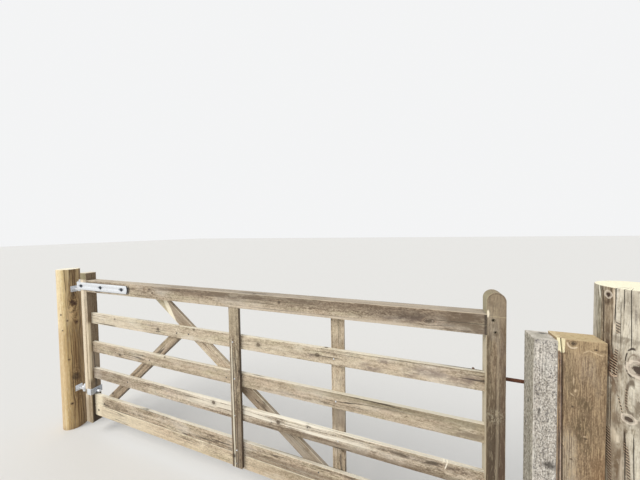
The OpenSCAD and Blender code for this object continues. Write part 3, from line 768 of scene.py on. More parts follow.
near_finish = weathered("near_upright_wood", STILE_GRAIN, 37, tint(204, 188, 161),
                        tint(158, 141, 117), tint(90, 75, 59), near_marks, 0.05, contrast=1.3)
far_finish = weathered("far_upright_wood", STILE_GRAIN, 41, tint(232, 216, 190),
                       tint(198, 181, 155), tint(130, 113, 91), far_marks, 0.1)
for node, finish, seed, splits in (
        ("near_upright", near_finish, 37, [(1.8010, (0.80, 0.98), 0.008),
                                           (1.7860, (0.62, 0.86), 0.006),
                                           (1.8080, (0.30, 0.60), 0.009),
                                           (1.7760, (0.18, 0.34), 0.006)]),
        ("far_upright", far_finish, 41, [(2.4600, (0.34, 0.6), 0.005),
                                         (2.4760, (1.05, 1.23), 0.004)])):
    z_span, x_span, y_span = block(node, ALONG_Z)
    sawn_timber(node, "gate", finish, ALONG_Z, z_span, (x_span, y_span),
                seed=seed, arris=0.002, wear=0.003, cracks=[
                    crack(STANDING_NEAR, *split, wide=0.0022, wander=0.0025)
                    for split in splits])


# %% Braces
LONG_SLOPE, SHORT_SLOPE = -36, 40


def slope_axes(angle):
    along = Vector((math.cos(math.radians(angle)), 0, math.sin(math.radians(angle))))
    return along, Y, along.cross(Y)


BRACE_Y, BRACE_W, BRACE_GAP = (0.011, 0.033), 0.077, 0.0003
UPRIGHT_EDGE, STILE_EDGE, BRACE_FOOT, KNEE_TOP = 2.4297, 0.320, 0.168, 1.043
long_axes, short_axes = slope_axes(LONG_SLOPE), slope_axes(SHORT_SLOPE)
head_point, knee_point = Vector((1.099, 0, RAIL_UNDER)), Vector((1.301, 0, 0.999))
long_mid, short_mid = head_point.dot(long_axes[2]), knee_point.dot(short_axes[2])


def cut(axes, direction, distance):
    """Where a board that lies along axes meets the plane direction . p = distance."""
    return lambda w: (distance - w * axes[2].dot(direction)) / axes[0].dot(direction)


def brace_marks(wood):
    wood.lay(tint(244, 232, 206), wood.ease(wood.worn(), 0.2, 1.0) * 0.6)


def long_marks(wood):
    high = wood.ease(wood.z, 1.02, 1.06)
    off = wood.x * 0.588 + wood.z * 0.809 - long_mid + (wood.band - 0.5) * 0.012
    off = off - 0.028 - (wood.z - RAIL_UNDER) * 0.47
    wood.lay(tint(190, 180, 146), wood.ease(off, -0.009, -0.015) * high * 0.6)
    wood.lay(tint(144, 128, 110), wood.ease(off, 0.010, 0.018) * high * 0.65)
    wood.lay(tint(254, 246, 220), wood.ease(abs(off), 0.015, 0.009) * high * 0.85)
    # Painted shadow of the top rail across the brace just below it.
    wood.lay(tint(56, 44, 34), wood.ease(wood.z, 1.211, 1.221) * 0.7)
    low = wood.ease(wood.z + (wood.cloud - 0.5) * 0.03, 0.76, 0.69)
    wood.lay(tint(104, 85, 64), low * 0.58)
    brace_marks(wood)


def short_marks(wood):
    # Painted shade along the brace's lower long edge, laid last.
    edge = wood.ease(wood.x * -0.643 + wood.z * 0.766, knee_low + 0.012, knee_low + 0.004)
    wood.lay(tint(112, 94, 74), wood.ease(wood.z, 0.62, 0.5) * 0.25)
    brace_marks(wood)
    wood.lay(tint(62, 48, 36), edge * 0.8)


long_ends = cut(long_axes, Z, RAIL_UNDER), cut(long_axes, X, UPRIGHT_EDGE)
foot_cuts = cut(short_axes, X, STILE_EDGE), cut(short_axes, Z, BRACE_FOOT)
knee_cuts = (cut(short_axes, Z, KNEE_TOP),
             cut(short_axes, long_axes[2], long_mid - BRACE_W / 2 - BRACE_GAP))
short_ends = (lambda w: max(c(w) for c in foot_cuts), lambda w: min(c(w) for c in knee_cuts))
knee_low = short_mid - BRACE_W / 2
long_finish = weathered(
    "long_brace_wood", (0, math.radians(LONG_SLOPE), 0), 43, tint(246, 232, 208),
    tint(212, 195, 170), tint(146, 128, 106), long_marks, 0.04)
short_finish = weathered(
    "short_brace_wood", (0, math.radians(SHORT_SLOPE), 0), 47, tint(216, 198, 172),
    tint(178, 159, 134), tint(120, 102, 82), short_marks, 0.04)
for node, finish, axes, ends, mid, seed in (
        ("long_brace", long_finish, long_axes, long_ends, long_mid, 43),
        ("short_brace", short_finish, short_axes, short_ends, short_mid, 47)):
    span = (mid - BRACE_W / 2, mid + BRACE_W / 2)
    start, end = ends[0](mid), ends[1](mid)
    sawn_timber(node, "gate", finish, axes, (start, end), (BRACE_Y, span),
                ends=ends, seed=seed, cracks=[
                    crack(LYING_NEAR, mid + 0.008, (start + 0.3, start + 1.0), 0.005)])

# %% [markdown]
# ## The two stiles
# The gate's end posts are called stiles. The hanging one, at the hinges, is sawn flat at its
# head. The shutting one ends in a half-round head, worked by narrowing the swept ring step by
# step, and has two dry peg holes that a boolean drills.


# %% Hanging stile
def hanging_marks(wood):
    stripe = wood.ease(wood.x + (wood.streak - 0.5) * 0.03, 0.292, 0.272)
    front = wood.ease(wood.facing("y"), -0.6, -0.9)
    wood.lay(tint(244, 228, 202), stripe * front * 0.75)
    seam = wood.ease(abs(wood.x - 0.2905 + (wood.band - 0.5) * 0.03), 0.0034, 0.001)
    wood.lay(tint(128, 106, 80), seam * front * wood.ease(wood.cloud, 0.36, 0.5) * 0.7)
    duller = wood.ease(wood.x + (wood.streak - 0.5) * 0.02, 0.288, 0.300)
    wood.lay(tint(168, 148, 120), duller * wood.ease(wood.z, 0.95, 1.0) * 0.35)
    middle = (wood.ease(wood.z + (wood.cloud - 0.5) * 0.03, 0.45, 0.5)
              * wood.ease(wood.z, 0.98, 0.94))
    wood.lay(tint(240, 224, 194), middle * front * duller * 0.6)
    head = wood.ease(wood.z + (wood.cloud - 0.5) * 0.02, 1.318, 1.33) * front
    wood.lay(tint(130, 120, 86), head * 0.85)
    foot = wood.ease(wood.z + (wood.band - 0.5) * 0.1, 0.38, 0.26)
    wood.lay(tint(132, 112, 82), foot * front * 0.62)
    # Painted shade on the inner side, which looks along +X, away from the lamp.
    inner = wood.ease(wood.facing("x"), 0.6, 0.9)
    wood.lay(tint(98, 79, 58), inner * 0.76)
    # Painted shadow on the inner side below the bottom bracket.
    deep = wood.ease(wood.z + (wood.cloud - 0.5) * 0.02, 0.352, 0.344)
    wood.lay(tint(50, 39, 26), inner * deep * 0.85)
    greyer = wood.ease(abs(wood.z - 0.635 + (wood.cloud - 0.5) * 0.03), 0.10, 0.07)
    wood.lay(tint(166, 150, 128), inner * greyer * 0.5)
    wane = wood.ease(wood.y + (wood.band - 0.5) * 0.05, -0.014, -0.024) * inner
    wood.lay(tint(226, 208, 176), wane * middle * 0.85)
    low_wane = wood.ease(wood.y + (wood.band - 0.5) * 0.03, -0.026, -0.032) * inner
    wood.lay(tint(186, 168, 136), low_wane * wood.ease(wood.z, 0.38, 0.34) * 0.8)
    # Painted shadow in the narrow gap between the eye bolt's washer and the bracket.
    slot = wood.ease(wood.x + (wood.streak - 0.5) * 0.006, 0.268, 0.262)
    slot = slot * wood.ease(abs(wood.z - 0.372 + (wood.cloud - 0.5) * 0.012), 0.026, 0.014)
    wood.lay(tint(44, 34, 26), slot * (wood.mottle * 0.5 + 0.45))
    lit_edge(wood)


hanging_finish = weathered("hanging_stile_wood", STILE_GRAIN, 53, tint(232, 215, 187),
                           tint(198, 179, 150), tint(130, 112, 88), hanging_marks, 0.05)
z_span, x_span, y_span = block("hanging_stile", ALONG_Z)
sawn_timber("hanging_stile", "gate", hanging_finish, ALONG_Z, z_span,
            (x_span, y_span), seed=53, arris=0.003, wear=0.004, cracks=[
                crack(STANDING_NEAR, 0.289, (0.46, 0.94), 0.010, 0.003),
                crack(STANDING_NEAR, 0.300, (0.11, 0.33), 0.008, 0.0026, open_start=1),
                crack(STANDING_RIGHT, 0.004, (1.0, 1.39), 0.010, 0.003, open_end=1)])


# %% Shutting stile
z_span, x_span, y_span = block("shutting_stile", ALONG_Z)
stile_radius = (x_span[1] - x_span[0]) / 2
shoulder = z_span[1] - stile_radius


def shutting_marks(wood):
    low = wood.ease(wood.z + (wood.band - 0.5) * 0.3, 1.15, 0.65)
    wood.lay(tint(62, 48, 33), low * 0.84)
    rain = wood.speckle(wood.place, (230, 230, 26), 2.0, 0.65)
    wood.lay(tint(84, 66, 50), wood.ease(rain, 0.52, 0.62) * 0.42)
    wood.lay(tint(178, 162, 134), wood.ease(rain, 0.46, 0.36) * 0.35)
    dark_side = wood.ease(wood.x + (wood.streak - 0.5) * 0.05, 3.205, 3.235)
    wood.lay(tint(92, 70, 56), dark_side * 0.4)
    left = wood.ease(wood.x + (wood.streak - 0.5) * 0.02, 3.184, 3.176)
    wood.lay(tint(96, 80, 58), left * wood.ease(wood.z, 1.28, 1.2) * 0.35)
    pale = wood.ease(abs(wood.x - 3.210 + (wood.band - 0.5) * 0.05), 0.010, 0.003)
    wood.lay(tint(180, 166, 142), pale * wood.ease(wood.z, 1.28, 1.1) * 0.3)
    lichen = wood.spot(wood.x, wood.z, (3.205, 0.865), (0.036, 0.03), 0.7)
    wood.lay(tint(198, 190, 164), lichen * wood.ease(wood.grit, 0.46, 0.6) * 0.35)
    head = ((wood.x - x_span[0] - stile_radius) ** 2
            + (wood.z - z_span[1] + stile_radius) ** 2) ** 0.5 / stile_radius
    arc = wood.ease(abs(head - 0.88 + (wood.cloud - 0.5) * 0.1), 0.09, 0.03)
    arc = arc * wood.ease(wood.z, shoulder - 0.01, shoulder + 0.01)
    wood.lay(tint(186, 170, 144), wood.ease(wood.z, 1.24, 1.30) * 0.25)
    wood.lay(tint(78, 62, 48), arc * 0.4)
    blot_z = wood.z + (wood.cloud - 0.5) * 0.02
    blot = wood.spot(wood.x, blot_z, (3.198, 1.365), (0.022, 0.012), 0.7)
    wood.lay(tint(84, 68, 52), blot * 0.25)
    chip = wood.spot(wood.x, wood.z, (3.1755, 1.322), (0.0050, 0.016), 0.3)
    wood.lay(tint(250, 238, 212), chip * 0.9)
    line = wood.ease(abs(wood.z - 1.3105), 0.0022, 0.0008) * wood.ease(wood.x, 3.172, 3.19)
    wood.lay(tint(190, 174, 140), line * 0.5)
    for centre, size, shade, amount in (
            ((3.196, 1.294), (0.0068, 0.0068), tint(34, 26, 20), 0.9),
            ((3.205, 1.241), (0.0075, 0.0075), tint(64, 50, 36), 0.6),
            ((3.205, 1.232), (0.0085, 0.0085), tint(84, 68, 46), 0.5),
            ((3.196, 1.27), (0.003, 0.0105), tint(92, 76, 56), 0.5)):
        wood.lay(shade, wood.spot(wood.x, wood.z, centre, size, 0.35) * amount)
    # Painted light: faces that look to the left, towards the lamp, are made paler.
    left_face_light = wood.ease(wood.facing("x"), -0.6, -0.9)
    wood.lay(tint(228, 216, 188), left_face_light * 0.6)
    high = wood.ease(wood.z + (wood.cloud - 0.5) * 0.05, 1.225, 1.27)
    wood.lay(tint(128, 122, 92), high * wood.ease(wood.facing("x"), -0.2, -0.6) * 0.7)
    top = wood.ease(wood.up_facing(), 0.3, 0.8)
    wood.lay(tint(150, 138, 112), top * 0.6)


shutting_finish = weathered("shutting_stile_wood", STILE_GRAIN, 59, tint(180, 163, 136),
                            tint(134, 116, 92), tint(84, 69, 53), shutting_marks, 0.04,
                            contrast=0.8, lines=0.12, crack=0.2)
shutting = sawn_timber(
    "shutting_stile", "gate", shutting_finish, ALONG_Z,
    (z_span[0], shoulder), (x_span, y_span), seed=59, arris=0.0035, wear=0.004,
    head=stile_radius, pitch=0.008, cracks=[
        crack(STANDING_NEAR, 3.222, (0.62, 1.05), 0.005, 0.0018),
        crack(STANDING_NEAR, 3.214, (0.15, 0.5), 0.006, 0.002),
        crack(STANDING_LEFT, 0.010, (0.5, 1.1), 0.008, 0.0024)])


# %% Peg holes
def drill(piece, holes, radius, depth):
    """Blind holes along Y in a piece, at the given x, y, z mouths."""
    form = bmesh.new()
    for hole in holes:
        turn = Matrix.Rotation(math.pi / 2, 4, "X")
        bmesh.ops.create_cone(form, cap_ends=True, segments=24, radius1=radius, radius2=radius,
                              depth=2 * depth, matrix=Matrix.Translation(hole) @ turn)
    mesh = bpy.data.meshes.new("drill")
    form.to_mesh(mesh)
    form.free()
    bit = linked("drill", mesh)
    step = piece.modifiers.new("drill", "BOOLEAN")
    step.object, step.operation, step.solver = bit, "DIFFERENCE", "EXACT"
    graph = bpy.context.evaluated_depsgraph_get()
    result = bpy.data.meshes.new_from_object(piece.evaluated_get(graph))
    piece.modifiers.clear()
    piece.data = result
    bpy.data.objects.remove(bit)
    print(piece.name, "holes", len(holes))


PEG_RADIUS, PEG_DEPTH = 0.005, 0.014
drill(shutting, [Vector((x, NEAR_FACE, z)) for x, z in ((3.196, 1.294), (3.205, 1.241))],
      PEG_RADIUS, PEG_DEPTH)

# %% [markdown]
# ## The shutting post
# Two squared timbers stand side by side. The grey one is rough-sawn, so its near face is
# speckled where saw fibres lift. The brown one is newer: a warm face with two knots near the
# top, a drying shake that runs down from the head, and a fresh yellow chip on both sides of it.


# %% Grey timber
def grey_marks(wood):
    front = wood.ease(wood.facing("y"), -0.5, -0.9)
    grit = wood.speckle(wood.place, (215, 215, 135), 2.0, 0.7)
    coarse = wood.speckle(wood.place, (135, 135, 66), 3.0, 0.7, 0.3)
    wood.lay(tint(94, 91, 92), wood.ease(grit, 0.53, 0.65) * 0.85)
    wood.lay(tint(92, 84, 76), wood.ease(coarse, 0.54, 0.66) * front * 0.35)
    wood.lay(tint(236, 231, 222), wood.ease(coarse, 0.46, 0.34) * front * 0.35)
    wood.lay(tint(236, 231, 222), wood.ease(grit, 0.47, 0.36) * 0.65)
    side = wood.ease(wood.facing("x"), -0.6, -0.9)
    wood.lay(tint(164, 157, 134), side * 0.45)
    wood.lay(tint(104, 96, 78), side * wood.ease(wood.streak, 0.53, 0.62) * 0.5)
    wood.lay(tint(88, 84, 66), side * wood.ease(coarse, 0.52, 0.62) * 0.75)
    wood.lay(tint(216, 210, 192), side * wood.ease(coarse, 0.47, 0.38) * 0.75)
    edge = wood.ease(abs(wood.x - wood.y - 3.3945 + (wood.cloud - 0.5) * 0.01), 0.004, 0.001)
    wood.lay(tint(222, 218, 208), edge * wood.ease(wood.mottle, 0.4, 0.56) * 0.5)
    pale = wood.spot(wood.x + (wood.cloud - 0.5) * 0.02, wood.z, (3.352, 1.185), (0.012, 0.04),
                     0.6)
    wood.lay(tint(240, 232, 220), pale * wood.ease(wood.mottle, 0.42, 0.54) * 0.7)
    for spot in (((3.345, 1.03), (0.006, 0.02)), ((3.388, 0.723), (0.026, 0.016)),
                 ((3.352, 0.94), (0.004, 0.015))):
        mark = wood.spot(wood.x, wood.z, *spot, 0.6) * wood.ease(wood.cloud, 0.38, 0.55)
        wood.lay(tint(62, 56, 50), mark * 0.85)
    for y, z in ((0.013, 0.841), (-0.011, 0.951)):
        mark = wood.spot(wood.y, wood.z, (y, z), (0.004, 0.008), 0.4) * side
        wood.lay(tint(40, 38, 34), mark * 0.9)
    top = wood.ease(wood.up_facing(), 0.6, 0.9)
    wood.lay(tint(172, 165, 148), top * 0.6)
    hollow = wood.spot(wood.x, wood.y + (wood.cloud - 0.5) * 0.02, (3.388, 0.014),
                       (0.018, 0.009), 0.4)
    wood.lay(tint(58, 56, 50), hollow * top * 0.9)


grey_finish = weathered("grey_timber_wood", STILE_GRAIN, 61, tint(214, 207, 197),
                        tint(182, 174, 162), tint(132, 124, 113), grey_marks, 0.04, crack=0.4,
                        knots=NO_KNOTS, contrast=0.85, lines=0.12, hues=0.15)
z_span, x_span, y_span = block("grey_shutting_post", ALONG_Z)
sawn_timber("grey_shutting_post", "posts", grey_finish, ALONG_Z, z_span,
            (x_span, y_span), seed=61, arris=0.003, wear=0.006, rough=0.0012, cracks=[
                crack(STANDING_LEFT, 0.004, (0.5, 1.05), 0.010, 0.003),
                crack(STANDING_NEAR, 3.350, (0.0, 0.4), 0.006)])


# %% Brown timber
def brown_marks(wood):
    front = wood.ease(wood.facing("y"), -0.4, -0.8)
    ragged = wood.x + (wood.streak - 0.5) * 0.03
    warm = wood.ease(ragged, 3.49, 3.55) * wood.ease(wood.z, 1.25, 1.1)
    wood.lay(tint(170, 146, 112), warm * 0.25)
    wood.lay(tint(116, 84, 52), warm * wood.ease(wood.z, 0.90, 0.70) * 0.72)
    straw = wood.ease(wood.z + (wood.cloud - 0.5) * 0.05, 1.17, 1.23)
    wood.lay(tint(196, 170, 130), straw * 0.45)
    light = wood.spot(ragged, wood.z, (3.466, 1.165), (0.022, 0.05), 0.7)
    wood.lay(tint(206, 180, 146), light * 0.45)
    pale = wood.ease(ragged, 3.484, 3.464) * wood.ease(wood.z + wood.band * 0.1, 0.96, 0.9)
    wood.lay(tint(186, 172, 150), pale * 0.6)
    for at, amount in ((3.438, 0.7), (3.452, 0.6), (3.459, 0.5)):
        line = wood.ease(abs(wood.x - at + (wood.band - 0.5) * 0.008), 0.0018, 0.0006)
        wood.lay(tint(84, 72, 58), line * pale * amount)
    strip = wood.ease(ragged, 3.438, 3.426) * wood.ease(wood.z, 1.22, 1.19)
    wood.lay(tint(112, 88, 78), strip * 0.55)
    beside = wood.ease(abs(wood.x - 3.4225 + (wood.z - 1.2) * 0.004), 0.0026, 0.001)
    wood.lay(tint(180, 158, 148), beside * wood.ease(wood.z, 1.19, 1.18)
             * wood.ease(wood.mottle, 0.36, 0.52) * 0.6)
    middle = (wood.ease(wood.z + (wood.cloud - 0.5) * 0.04, 1.16, 1.10)
              * wood.ease(wood.z, 0.82, 0.9))
    wood.lay(tint(118, 98, 74), middle * 0.3)
    olive = wood.spot(ragged, wood.z, (3.452, 1.11), (0.022, 0.12), 0.6)
    wood.lay(tint(116, 100, 74), olive * 0.5)
    for x, z, wide, tall in ((3.494, 0.997, 0.024, 0.026), (3.488, 0.90, 0.03, 0.05),
                             (3.484, 0.865, 0.008, 0.01), (3.50, 0.83, 0.02, 0.03)):
        dusk = wood.spot(ragged, wood.z, (x, z), (wide, tall), 0.7)
        wood.lay(tint(86, 72, 50), dusk * wood.ease(wood.mottle, 0.36, 0.58) * 0.75)
    wood.lay(tint(212, 186, 148), wood.ease(wood.grit, 0.56, 0.68) * 0.2)
    wood.lay(tint(84, 64, 44), wood.ease(wood.grit, 0.44, 0.33) * 0.28)
    rain = wood.speckle(wood.place, (260, 260, 20), 2.0, 0.65)
    wood.lay(tint(98, 74, 50), wood.ease(rain, 0.53, 0.62) * 0.45)
    wood.lay(tint(198, 172, 134), wood.ease(rain, 0.46, 0.37) * 0.42)
    for x, z, wide, tall, tilt in ((3.4617, 1.090, 0.0024, 0.016, 0.0),
                                   (3.468, 1.050, 0.0045, 0.006, 0.4),
                                   (3.458, 1.033, 0.006, 0.003, -0.8),
                                   (3.499, 1.211, 0.010, 0.0024, 0.6),
                                   (3.521, 1.211, 0.014, 0.0022, -0.35),
                                   (3.541, 1.204, 0.010, 0.0018, -0.2),
                                   (3.498, 0.872, 0.004, 0.003, 0.0),
                                   (3.430, 0.822, 0.004, 0.004, 0.0)):
        bent = wood.z - (wood.x - x) * tilt
        wood.lay(tint(226, 202, 168), wood.spot(wood.x, bent, (x, z), (wide, tall), 0.6) * 0.5)
    moon = wood.ring(wood.x, wood.z, (3.4582, 1.2391), (0.017, 0.019), 0.24)
    moon = moon * wood.ease(wood.z + (wood.x - 3.4582) * 0.5, 1.236, 1.228)
    wood.lay(tint(224, 204, 176), moon * 0.75)
    for x, z, wide, tall in ((3.552, 1.218, 0.012, 0.006), (3.429, 1.196, 0.012, 0.004)):
        wood.lay(tint(84, 66, 48), wood.spot(wood.x, wood.z, (x, z), (wide, tall), 0.7) * front
                 * 0.55)
    near = wood.ease(wood.y, -0.046, -0.051)
    border = 3.4322 + (wood.z - 1.20) * 0.04
    ragged_chip = wood.ease(wood.x - border + (wood.fibre - 0.5) * 0.004, 0.0012, -0.0006)
    foot = wood.z + (wood.streak - 0.5) * 0.03 - abs(wood.x - 3.4235) * 1.2
    chip = ragged_chip * wood.ease(foot, 1.190, 1.194) * near
    wood.lay(tint(240, 230, 192), chip * 0.95)
    bevel = wood.ease(wood.facing("z"), 0.1, 0.16) * ragged_chip
    wood.lay(tint(240, 230, 192), bevel * wood.ease(foot, 1.188, 1.194) * 0.9)
    top = wood.ease(wood.up_facing(), 0.6, 0.9)
    wood.lay(tint(210, 190, 146), top * 0.75)
    wood.lay(tint(160, 130, 90), top * wood.ease(wood.mottle, 0.52, 0.62) * 0.6)


POST_FACE = -0.0625
BROWN_KNOTS = ((3.4582, 1.2391, 0.0072, 1.15), (3.528, 1.2216, 0.0034, 1.4),
               (3.4593, 0.985, 0.0034, 1.2), (3.5015, 0.864, 0.0045, 1.5),
               (3.4303, 0.816, 0.0028, 0.9), (3.4572, 0.7696, 0.0034, 1.6))
brown_finish = weathered("brown_timber_wood", STILE_GRAIN, 67, tint(188, 165, 133),
                         tint(152, 129, 101), tint(106, 87, 66), brown_marks, 0.0, crack=0.0,
                         contrast=0.85, hues=0.12, knots=NO_KNOTS, pith=(0.02, 0.12),
                         ring=0.006, marked=near_knots(POST_FACE, BROWN_KNOTS))
z_span, x_span, y_span = block("brown_shutting_post", ALONG_Z)
chip_x, chip_foot, chip_deep = x_span[0] + 0.020, z_span[1] - 0.058, 0.012


# A crack that runs nowhere only adds the columns that the chip's edge needs.
NOWHERE = (9, 10)


def chip_cut(u, v, w):
    """The chip takes more wood the nearer it gets to the timber's head."""
    if v < chip_x and u > chip_foot:
        w = max(w, y_span[0] + chip_deep * (u - chip_foot) / (z_span[1] - chip_foot))
    return v, w


sawn_timber("brown_shutting_post", "posts", brown_finish, ALONG_Z, z_span,
            (x_span, y_span), seed=67, arris=0.002, wear=0.003, pitch=0.01, step=0.0145,
            carve=chip_cut, cracks=[
                crack(STANDING_NEAR, 3.4278, (0.3, z_span[1] + 0.1), 0.030, 0.0066, 0.001,
                      open_end=1, lean=-0.012),
                crack(STANDING_NEAR, chip_x + 0.003, NOWHERE, 0.0, 0.001, 0.0),
                crack(STANDING_NEAR, 3.4170, (-0.2, 1.19), 0.010, 0.0018, 0.001),
                crack(STANDING_NEAR, 3.4206, (-0.2, 0.90), 0.020, 0.0036, 0.001),
                crack(STANDING_NEAR, 3.4440, (0.4, 0.79), 0.008, 0.0018, 0.001),
                crack(STANDING_NEAR, 3.4800, (0.1, 0.5), 0.005, 0.0016)])

# %% [markdown]
# ## Two round posts
# The hanging post is a fresh pole: its bark is gone, long brown streaks of bast stay between
# pale wood, and knots stand a little proud. The thick post at the other end is older and grey,
# with long drying cracks. Both skins are swept up from rings of columns. A ring is
# flattened where a washer or a timber seats, swells at each knot, and opens into a narrow V at
# each crack. The columns beside a crack drift with it, so the crack can wander.


# %% The skin of a round post
KNOT_PROUD, RIPPLE = 0.0007, 0.0004
BELOW, BEYOND = -1, 9


class Pole:
    """Where a round post's skin lies, by angle in degrees from +X and by height.

    A knot is (angle, height, size, squat), a split is (angle, foot, head, depth, half its width
    in degrees, wander, lean) and a seat is (low, high, least x, most x).
    """

    def __init__(self, node, foot_r, top_r, knots, splits, seats):
        low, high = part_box(node)
        self.node, self.top, self.foot_r, self.top_r = node, high.z, foot_r, top_r
        self.centre = Vector((high.x - max(foot_r, top_r), high.y - max(foot_r, top_r), 0))
        self.knots, self.splits, self.seats = knots, splits, seats

    def at(self, angle, z, inward=0.0):
        """A point of the plain tapered post."""
        r = self.foot_r + (self.top_r - self.foot_r) * z / self.top - inward
        a = math.radians(angle)
        return self.centre + Vector((r * math.cos(a), r * math.sin(a), z))

    def marked(self):
        """The knots as the wood finish wants them: centre, across, along, size, squat."""
        for angle, z, size, squat in self.knots:
            a = math.radians(angle)
            yield self.at(angle, z), Vector((-math.sin(a), math.cos(a), 0)), Z, size, squat

    def point(self, angle, z):
        """A point of the worn skin, and how far it lies in a crack."""
        inward, edge, pull, share = 0.0, 0.0, 0.0, 0.0
        for at, foot, head, deep, half, wander, lean in self.splits:
            off = (angle - at + 180) % 360 - 180
            drift = wander * noise.noise(Vector((z * 2.2, at, 1)))
            drift += lean * (max(foot, min(head, self.top, z)) - 1.2)
            beyond = max(0.0, foot - z, z - head)
            near = math.exp(-(off / (4 + abs(lean) / 6)) ** 2) * max(0.0, 1 - beyond / 0.08)
            pull, share = pull + drift * near, share + near
            if abs(off) < half and foot < z < head:
                run = min(1.0, (z - foot) / 0.12, (head - z) / 0.06 + (head > self.top))
                inward += deep * run * (1 - abs(off) / half)
                edge = -min(1.0, deep * run * (1 - abs(off) / half) / 0.003)
        moved = angle + pull / max(1.0, share)
        here = self.at(moved, z)
        swell = 0.0
        for knot_angle, knot_z, size, _ in self.knots:
            gap = here - self.at(knot_angle, knot_z)
            swell += math.exp(-((gap.x ** 2 + gap.y ** 2 + (gap.z * 0.6) ** 2)
                                / (size * 1.4) ** 2))
        waves = noise.noise(here * 9) * 0.5 + noise.noise(
            Vector((here.x * 22, here.y * 22, z * 3)))
        inward += KNOT_PROUD * (1 - min(1.0, swell)) + RIPPLE * (1 + waves)
        point = self.at(moved, z, inward + max(0.0, z - self.top + 0.002))
        for low, high, x_low, x_high in self.seats:
            if low < z < high:
                point.x = max(x_low, min(x_high, point.x))
        return point, edge

    def skin(self, finish, columns=112, pitch=0.02):
        angles = [i * 360 / columns - 180 for i in range(columns)]
        for at, _, _, _, half, _, _ in self.splits:
            angles = [a for a in angles if abs((a - at + 180) % 360 - 180) > half * 1.1]
            angles += [at + d * half for d in (-1, -0.55, 0, 0.55, 1)]
        heights = [i * pitch for i in range(int(self.top / pitch))]
        heights += [h + e for seat in self.seats for h in seat[:2] for e in (-0.0002, 0.0002)
                    if 0 < h < self.top]
        heights = sorted(h for h in heights if h < self.top - 0.004)
        heights += [self.top - 0.002, self.top - 0.001, self.top - 0.0002]
        rings, arrises = [], []
        for z in heights:
            pairs = [self.point(angle, z) for angle in sorted(angles)]
            rings.append([tuple(p) for p, _ in pairs])
            arrises.append([e for _, e in pairs])
        return loft(self.node + "_skin", rings, arrises, "posts", finish, [self.node])


washers = {name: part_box(name) for name in ("top_hook_washers", "bottom_hook_washers")}
hook_seats = [(low.z - 0.001, high.z + 0.001, low.x + 0.005, high.x - 0.005)
              for low, high in washers.values()]
hanging = Pole("hanging_post", 0.082, 0.079, (
    (-15.0, 1.119, 0.010, 1.1), (-2.0, 1.101, 0.011, 0.9), (-72.5, 1.014, 0.006, 0.9),
    (4.0, 0.936, 0.011, 0.9), (-35.0, 0.229, 0.008, 1.0), (-39.0, 0.960, 0.005, 0.8),
    (-66.0, 0.878, 0.005, 1.0), (-40.0, 0.62, 0.006, 1.0), (60.0, 0.45, 0.012, 0.8),
    (118.0, 1.16, 0.013, 0.9), (152.0, 0.74, 0.011, 0.8), (-150.0, 0.52, 0.010, 1.0)), (
    (-40.0, 1.19, BEYOND, 0.013, 1.0, 1.0, -30.0), (104.0, 0.55, BEYOND, 0.016, 1.3, 5.0, 0.0),
    (-158.0, 0.95, BEYOND, 0.012, 1.0, 4.0, 0.0)), hook_seats)
brown_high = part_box("brown_shutting_post")[1]
thick = Pole("thick_round_post", 0.118, 0.118, (
    (-158.8, 1.438, 0.0072, 0.9), (-117.2, 1.184, 0.0165, 1.0), (-127.9, 0.992, 0.0100, 1.05),
    (-60.0, 0.72, 0.014, 1.0), (20.0, 1.21, 0.013, 0.9), (75.0, 0.8, 0.015, 0.9),
    (140.0, 1.33, 0.009, 1.0), (-85.0, 0.35, 0.012, 1.0), (-20.0, 0.4, 0.011, 1.1)), (
    (-126.1, 1.25, BEYOND, 0.022, 0.55, 0.3, -8.5),
    (-124.0, 0.40, 0.94, 0.014, 0.55, 0.5, -9.3),
    (-147.2, 1.33, BEYOND, 0.022, 1.05, 0.3, 0.0),
    (-150.6, 1.20, 1.34, 0.012, 0.75, 0.3, -17.5),
    (-135.0, 1.375, BEYOND, 0.014, 0.55, 0.3, -5.4),
    (-139.0, 1.225, 1.42, 0.009, 0.45, 0.3, -7.2),
    (-153.8, 0.93, 1.085, 0.009, 0.60, 0.5, 0.0), (-151.1, 0.93, 1.085, 0.008, 0.55, 0.5, 0.0),
    (-131.3, 0.30, 0.92, 0.006, 0.30, 1.0, 0.0), (-40.0, 0.4, BEYOND, 0.026, 0.6, 5.0, 0.0),
    (40.0, 0.7, BEYOND, 0.018, 0.5, 4.0, 0.0), (112.0, 0.2, BEYOND, 0.022, 0.55, 5.0, 0.0)),
    [(BELOW, brown_high.z, brown_high.x, BEYOND)])
print("post tops", round(hanging.top, 3), round(thick.top, 3))

# %% Finish of the peeled pole
pole = Wood("peeled_pole_wood", STILE_GRAIN, 0, pith=(0.025, 0.025), ring=0.0042,
            knots=NO_KNOTS, marked=list(hanging.marked()))
tone = pole.streak * 0.4 + pole.band * 0.3 + pole.fibre * 0.2 + pole.mottle * 0.35
pole.colour = pole.ramp((tone - 0.625) * 1.1 + 0.54, (0.26, tint(188, 154, 108)),
                   (0.78, tint(255, 246, 214)), (0.42, tint(226, 200, 154)),
                   (0.56, tint(248, 230, 188)))
turn = pole.node("ShaderNodeMath", {"operation": "ARCTAN2"}, {0: pole.y, 1: pole.x})
turn = turn * (180 / math.pi)
bent = turn + (pole.band - 0.5) * 30
